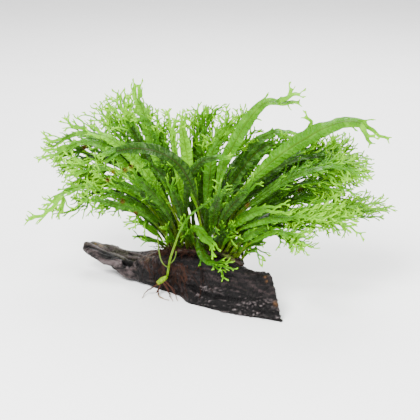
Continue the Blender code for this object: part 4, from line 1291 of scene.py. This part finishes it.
# Broader or flatter to the viewer than the plain solid
WIDTHS = {"32": 8.5, "06": 11.0, "30": 8.0, "18": 9.0, "19": 12.5}
ROLLS = {"06": 22, "16": 12, "18": 20, "19": 28}
made = []
for index, (number, row, along, lean, widest, roll, *routes) in enumerate(FRONDS):
    shape = (lean, WIDTHS.get(number, widest), ROLLS.get(number, roll), *routes)
    position = (along - STEM_START) / (STEM_ENDS[row] - STEM_START) * STEM_SPANS
    foot = smooth_between(axes[row], position) + Vector((0, 0, STEM_RADIUS + TOUCH_GAP))
    twist = TWIST * math.sin(TWIST_PACE * index)
    tone = TONES.get(number, 0.25 + 0.35 * ((index * 0.618) % 1))
    lace = LACE.get(number, 0.85)
    broad = BROAD.get(number, 1.0)
    made.append(single_frond(number, twist, foot, shape, tone, lace, 100 + index, broad, leaf))
made.append(single_frond("young", 0, YOUNG_FOOT, YOUNG_FROND, 0.9, 0.1, 99, 0.7, leaf, 0.8))


def face_count(pieces):
    """The number of faces of pieces, with their modifiers applied."""
    depsgraph = bpy.context.evaluated_depsgraph_get()
    return sum(len(piece.evaluated_get(depsgraph).data.polygons) for piece in pieces)


print(len(made), "fronds with", face_count(made), "faces")

# %% [markdown]
# Behind and between the measured fronds stand more of the same, which the front view shows only
# as a dense mesh of strands. Each is drawn from the shape of a measured neighbour, swung a
# little to one side about its foot and set back in depth.

# %% Fronds between the measured ones
# Which frond is the neighbour, how far the swing goes in degrees and how much shorter it is
BETWEEN = [
    ("01", 7, 0.85), ("02", 5, 0.9), ("02", -6, 0.88), ("03", 5, 0.9), ("03", -5, 0.86), ("04", -5, 0.9),
    ("04", 5, 0.85), ("04b", -4, 0.92), ("07", 5, 0.9), ("07", -5, 0.9), ("08", -6, 0.8), ("09", -6, 0.8),
    ("10", 5, 0.9), ("12", 6, 0.9), ("14", 5, 0.92), ("14", -6, 0.85), ("15", -7, 0.9), ("15", 7, 0.8),
    ("20", 3, 0.95), ("20", -3, 0.9), ("21", 3, 0.95), ("21", -4, 0.9),
    ("22", 4, 0.9), ("22", -4, 0.9), ("23", 3, 0.85), ("24", 4, 0.85), ("25", 4, 0.85), ("25", -4, 0.9),
    ("26", 5, 0.85), ("35", 6, 0.9), ("37", -6, 0.9), ("20", 7, 0.85), ("21", 1, 0.8), ("20", -7, 0.8),
    ("07", 1, 0.82), ("04", 1, 0.8), ("17", -7, 0.75), ("03", 9, 0.8),
    ("12", 5, 1.0), ("12", 9, 0.96), ("12", 1, 0.96), ("20", 1, 1.0), ("20", -2, 1.0), ("21", 2, 1.0),
    ("23", 0, 0.98), ("23", -2, 0.93), ("10", -9, 1.05), ("35", 1, 0.95),
]
SET_BACK = 5.0


def swung(places, centre, degrees, size):
    """Places in the front view turned about a centre and scaled from it."""
    turn = Matrix.Rotation(math.radians(degrees), 2)
    return [centre + turn @ (Vector(place) - centre) * size for place in places]


shapes = {number: (row, along, shape) for number, row, along, *shape in FRONDS}
between = []
for index, (number, degrees, size) in enumerate(BETWEEN):
    row, along, (lean, widest, roll, route, tips, sides) = shapes[number]
    position = (along - STEM_START) / (STEM_ENDS[row] - STEM_START) * STEM_SPANS
    foot = smooth_between(axes[row], position) + Vector((0, 0, STEM_RADIUS * 0.5))
    centre = seen_at(foot)
    foot += Vector((1.5 * (-1) ** index, SET_BACK, 0))
    shape = (
        lean + 0.04, widest * 0.8, roll, swung(route, centre, degrees, size),
        [swung(tip, centre, degrees, size) for tip in tips],
        [(share, swung(points, centre, degrees, size)) for share, points in sides],
    )
    # Low, dark tones for the fronds set back in the clump: painted shade.
    sheet = Sheet(0.05 + 0.3 * ((index * 0.618) % 1))
    frond(sheet, 20 * math.sin(index), foot, shape, 0.9, random.Random(500 + index))
    between.append(finish_fronds("between_frond_" + str(index + 1), sheet, leaf))
print(len(between), "more fronds with", face_count(between), "faces")

# %% [markdown]
# ## Short fronds at the base
#
# Between the long stalks the creeping stems carry many short fronds, too many and too small to
# have solids of their own. They fill the foot of the clump, so that hardly any light comes
# through. They grow freely: each starts from a stem, heads outwards and droops.

# %% Short fronds
def free_midrib(foot, heading, length, droop):
    """Points along a midrib that starts towards heading and bends down by droop."""
    line = [foot]
    steps = 10
    for step in range(steps):
        heading = (heading + Vector((0, 0, -droop / steps))).normalized()
        line.append(line[-1] + heading * (length / steps))
    return line


def short_frond(sheet, foot, heading, length, droop, widest, lace, rnd):
    """A short frond that ends in twigs."""
    line = free_midrib(foot, heading, length, droop)
    rows, middle, direction, facing, length = blade(
        sheet, line, rnd.uniform(0, 30), rnd.uniform(-20, 20), widest, rnd
    )
    left = direction.cross(facing).normalized()
    for start, side in ((0, 1), (1, 0.3), (2, -0.3), (3, -1)):
        ends = rows[-1][start : start + 2]
        aim = turned(direction, left, side, rnd.uniform(0.2, 0.6))
        grow_twig(sheet, ends, aim, facing, rnd.uniform(4.0, 9.0), length, 0.6, rnd)
    lace_margins(sheet, rows, facing, length, lace, set(), rnd)


# The low tones of the short fronds darken the foot of the clump: painted shade.
LOW_FRONDS = (
    # stem, number, shortest, longest, spread to the sides, lean towards the viewer, droop, tone
    ("front", FRONT, 14, 14.0, 36.0, 0.6, 0.4, 0.8, 0.0),
    ("middle", MIDDLE, 18, 30.0, 56.0, 0.7, 0.1, 0.4, 0.1),
    ("back", BACK, 18, 34.0, 62.0, 0.65, -0.3, 0.4, 0.05),
)
low = []
for name, stem, number, shortest, longest, spread, lean, droop, tone in LOW_FRONDS:
    rnd = random.Random(300 + number + stem)
    sheet = Sheet(tone)
    for index in range(number):
        share = 0.08 + 0.84 * (index + 0.5) / number
        foot = smooth_between(axes[stem], share * STEM_SPANS) + Vector((0, 0, STEM_RADIUS * 0.5))
        aside = spread * (2 * share - 1) + rnd.uniform(-0.25, 0.25)
        heading = Vector((aside, -lean + rnd.uniform(-0.25, 0.25), 1)).normalized()
        length = rnd.uniform(shortest, longest)
        sheet.tone = max(0.0, tone + rnd.uniform(-0.15, 0.3))
        short_frond(sheet, foot, heading, length, droop, rnd.uniform(2.6, 5.0), 0.6, rnd)
    low.append(finish_fronds("low_fronds_" + name, sheet, leaf))
print(len(low), "groups of short fronds with", face_count(low), "faces")

# %% [markdown]
# ## Young stem, roots and fibres
#
# A young stem hangs in front of the wood: a bright stub with a dried end, from which one long
# thin stalk climbs into the rest. Fine brown roots run from it and from the creeping stems down
# over the wood, and dark fibres stand between the stalks. All are thin tubes. Those on the wood
# are laid out in the front view and dropped onto its surface.

# %% Young stem
STUB_LOW = Vector((-33.1, -16.4, 10.7)) + SLAB_MIDDLE
STUB_HIGH = Vector((-29.2, -16.4, 13.5)) + SLAB_MIDDLE
stub_finish = Finish("young_stub", roughness=0.5, Specular_IOR_Level=0.1)
ripeness = stub_finish.speckle(stub_finish.place(), 0.5)
spots = stub_finish.speckle(stub_finish.place(), 1.6)
stub_colour = stub_finish.blend(ripeness.between(0.35, 0.65), (0.07, 0.16, 0.0), (0.17, 0.27, 0.001))
stub_colour = stub_finish.blend(spots.between(0.62, 0.7) * 0.6, stub_colour, (0.05, 0.04, 0.003))
stub_colour = stub_finish.blend(stub_finish.read("dried") * 0.8, stub_colour, (0.10, 0.055, 0.01))
stub_finish.feed(Base_Color=stub_colour)
stub_finish.relief(spots, 0.3)

# The stub as stops along its axis past its low point, each with a radius and how dried it is
STUB_STOPS = [(-2.2, 1.3, 0.1), (-2.0, 1.8, 1.0), (-1.2, 2.1, 0.7), (-0.2, 1.8, 0.0), (1.4, 2.3, 0.0)]
STUB_STOPS += [(3.0, 2.5, 0.0), (4.8, 2.2, 0.0), (6.2, 1.7, 0.0)]
COLLAR_RADIUS = 1.1
stub_axis = (STUB_HIGH - STUB_LOW).normalized()
places = [STUB_LOW + stub_axis * stop for stop, radius, dried in STUB_STOPS] + [YOUNG_FOOT]
radii = [radius for stop, radius, dried in STUB_STOPS] + [COLLAR_RADIUS]
stub = bmesh.new()
tube(stub, places, radii, sides=20)
dried_value = stub.verts.layers.float.new("dried")
for corner in stub.verts:
    low_end = (corner.co - STUB_LOW).dot(stub_axis)
    corner[dried_value] = max((d for stop, r, d in STUB_STOPS if abs(stop - low_end) < 0.3), default=0)
    corner.co += Vector((0.3, 0.3, 0.3)) * noise.noise(corner.co / 1.6)
bmesh.ops.recalc_face_normals(stub, faces=stub.faces)
piece = add_piece("fine_young_stem", stub, stub_finish, "young_stem", slot="bud")
rounding = piece.modifiers.new("rounding", "SUBSURF")
rounding.levels = rounding.render_levels = 1
print("young stub with", len(places), "rings")

# %% Roots of the young stem
root_finish = Finish("brown_roots", roughness=0.7, Specular_IOR_Level=0.1)
root_shade = root_finish.speckle(root_finish.place(), 0.12)
root_colour = root_finish.blend(root_shade.between(0.42, 0.66), (0.004, 0.002, 0.0014), (0.026, 0.011, 0.0065))
root_colour = root_finish.blend(root_finish.read("reddish"), root_colour, (0.045, 0.016, 0.009))
root_colour = root_finish.blend(root_finish.read("pale_end"), root_colour, (0.30, 0.21, 0.12))
root_finish.feed(Base_Color=root_colour)
ROOTS = [
    [(-34, -17, 9), (-39, -17, 6), (-44, -18, 2.5), (-47, -26, 0.6)],
    [(-32, -17.5, 9), (-34, -19, 4), (-33, -24, 0.7), (-25, -31, 0.6)],
    [(-30, -17.5, 11), (-28, -19, 8), (-25, -23, 3), (-22, -33, 0.6)],
    [(-29, -17.5, 12), (-25.5, -20, 10), (-21, -25, 5), (-18, -32, 0.7)],
]


def wander(stops, rnd, steps, sway):
    """Close-set points along stops, each moved a little at random."""
    places = []
    for step in range(steps + 1):
        share = step / steps
        place = smooth_between(stops, share * (len(stops) - 1))
        shift = Vector((rnd.uniform(-1, 1), rnd.uniform(-1, 1), rnd.uniform(-0.3, 0.6)))
        places.append(place + shift * sway * min(1, 3 * share))
    return places


rnd = random.Random(7)
young_roots = bmesh.new()
reddish_value = young_roots.verts.layers.float.new("reddish")
pale_value = young_roots.verts.layers.float.new("pale_end")
for route in ROOTS:
    stops = [SLAB_MIDDLE + Vector(stop) for stop in route]
    for strand in range(3):
        places = wander(stops, rnd, 10, 0.3 + 1.3 * (strand > 0))
        if strand:
            places = places[: rnd.randint(5, 9)]
        radii = [0.62 - 0.36 * step / len(places) for step in range(len(places))]
        for place, radius in zip(places, radii):
            place.z = max(place.z, radius)
        tube(young_roots, places, radii, sides=5)
for corner in young_roots.verts:
    corner[reddish_value] = 0.8
    corner[pale_value] = max(0.0, min(0.85, 1 - corner.co.z / 3))
bmesh.ops.recalc_face_normals(young_roots, faces=young_roots.faces)
add_piece("young_roots", young_roots, root_finish, slot="bud")
print("roots of the young stem")

# %% Roots over the wood
def laid_on_wood(route, rise):
    """Points of a route in the front view that lie on the wood, lifted off it by rise."""
    laid = []
    for seen in route:
        hit = seen_on_wood(seen)
        if hit is None:
            break
        near, normal = fine_surface.find_nearest(hit)[:2]
        laid.append(near + normal * rise)
    return laid


def seen_route(start, end, steps, sway, rnd):
    """A wandering route between two places in the front view."""
    start, end = Vector(start), Vector(end)
    aside = Vector((end.y - start.y, start.x - end.x)).normalized()
    drift = 0.0
    route = []
    for step in range(steps + 1):
        drift += rnd.uniform(-1, 1) * sway
        route.append(start.lerp(end, step / steps) + aside * drift * min(1, 4 * step / steps))
    return route


rnd = random.Random(11)
wood_roots = bmesh.new()
reddish_value = wood_roots.verts.layers.float.new("reddish")
for strand in range(70):
    across_start = rnd.gauss(-30, 10)
    start = (across_start, -39 - 0.12 * (across_start + 56) + rnd.uniform(-3, 1))
    fall = rnd.uniform(8, 30)
    end = (across_start + rnd.uniform(-9, 14), start[1] - fall)
    places = laid_on_wood(seen_route(start, end, 9, 0.6, rnd), 0.25)
    if len(places) > 3:
        thick = rnd.uniform(0.22, 0.42)
        tube(wood_roots, places, [thick * (1 - 0.6 * i / len(places)) for i in range(len(places))], sides=4)
for corner in wood_roots.verts:
    corner[reddish_value] = max(0.0, min(0.4, noise.noise(corner.co / 5) * 1.5))
bmesh.ops.recalc_face_normals(wood_roots, faces=wood_roots.faces)
add_piece("wood_roots", wood_roots, root_finish, slot="stem")
print("roots over the wood")

# %% Fibres between the stalks
rnd = random.Random(13)
fibres = bmesh.new()
reddish_value = fibres.verts.layers.float.new("reddish")
for strand in range(300):
    stem = rnd.choice((FRONT, FRONT, MIDDLE, BACK))
    share = 0.03 + 0.8 * rnd.random()
    foot = smooth_between(axes[stem], share * STEM_SPANS)
    heading = Vector((rnd.uniform(-0.8, 0.8) + 1.2 * (share - 0.5), rnd.uniform(-0.9, 0.4), rnd.uniform(-0.5, 1)))
    line = free_midrib(foot, heading.normalized(), rnd.uniform(5, 17), rnd.uniform(-0.2, 1.3))[::2]
    places = wander(line, rnd, 5, 0.5)
    thick = rnd.uniform(0.2, 0.4)
    tube(fibres, places, [thick * (1 - 0.1 * i) for i in range(len(places))], sides=4)
for corner in fibres.verts:
    corner[reddish_value] = max(0.0, min(0.8, noise.noise(corner.co / 7) * 3))
bmesh.ops.recalc_face_normals(fibres, faces=fibres.faces)
add_piece("stem_fibres", fibres, root_finish, slot="stem")
print("fibres between the stalks")

# %% Green rootlets beside the young stalk
rootlet_finish = Finish("green_rootlet", roughness=0.5, Specular_IOR_Level=0.3)
freshness = rootlet_finish.speckle(rootlet_finish.place(), 0.25)
rootlet_finish.feed(Base_Color=rootlet_finish.blend(freshness, (0.035, 0.065, 0.004), (0.10, 0.18, 0.004)))
GREEN_ROOTLETS = [
    # across and up in the front view, and depth
    [(-42, -20, -14), (-41, -31, -17), (-39.5, -39, -20), (-37, -43.5, -21.5), (-34, -45.8, -21.6)],
    [(-27, -33, -19), (-27.5, -36.5, -21), (-29, -40, -22), (-31.5, -42.6, -22)],
]
rootlets = bmesh.new()
for route in GREEN_ROOTLETS:
    stops = [on_sight_line(stop[:2], stop[2]) for stop in route]
    places = [smooth_between(stops, step / 4) for step in range(4 * (len(stops) - 1) + 1)]
    tube(rootlets, places, [0.6 - 0.2 * i / len(places) for i in range(len(places))], sides=8)
bmesh.ops.recalc_face_normals(rootlets, faces=rootlets.faces)
add_piece("green_rootlets", rootlets, rootlet_finish, slot="stem")
print("green rootlets")
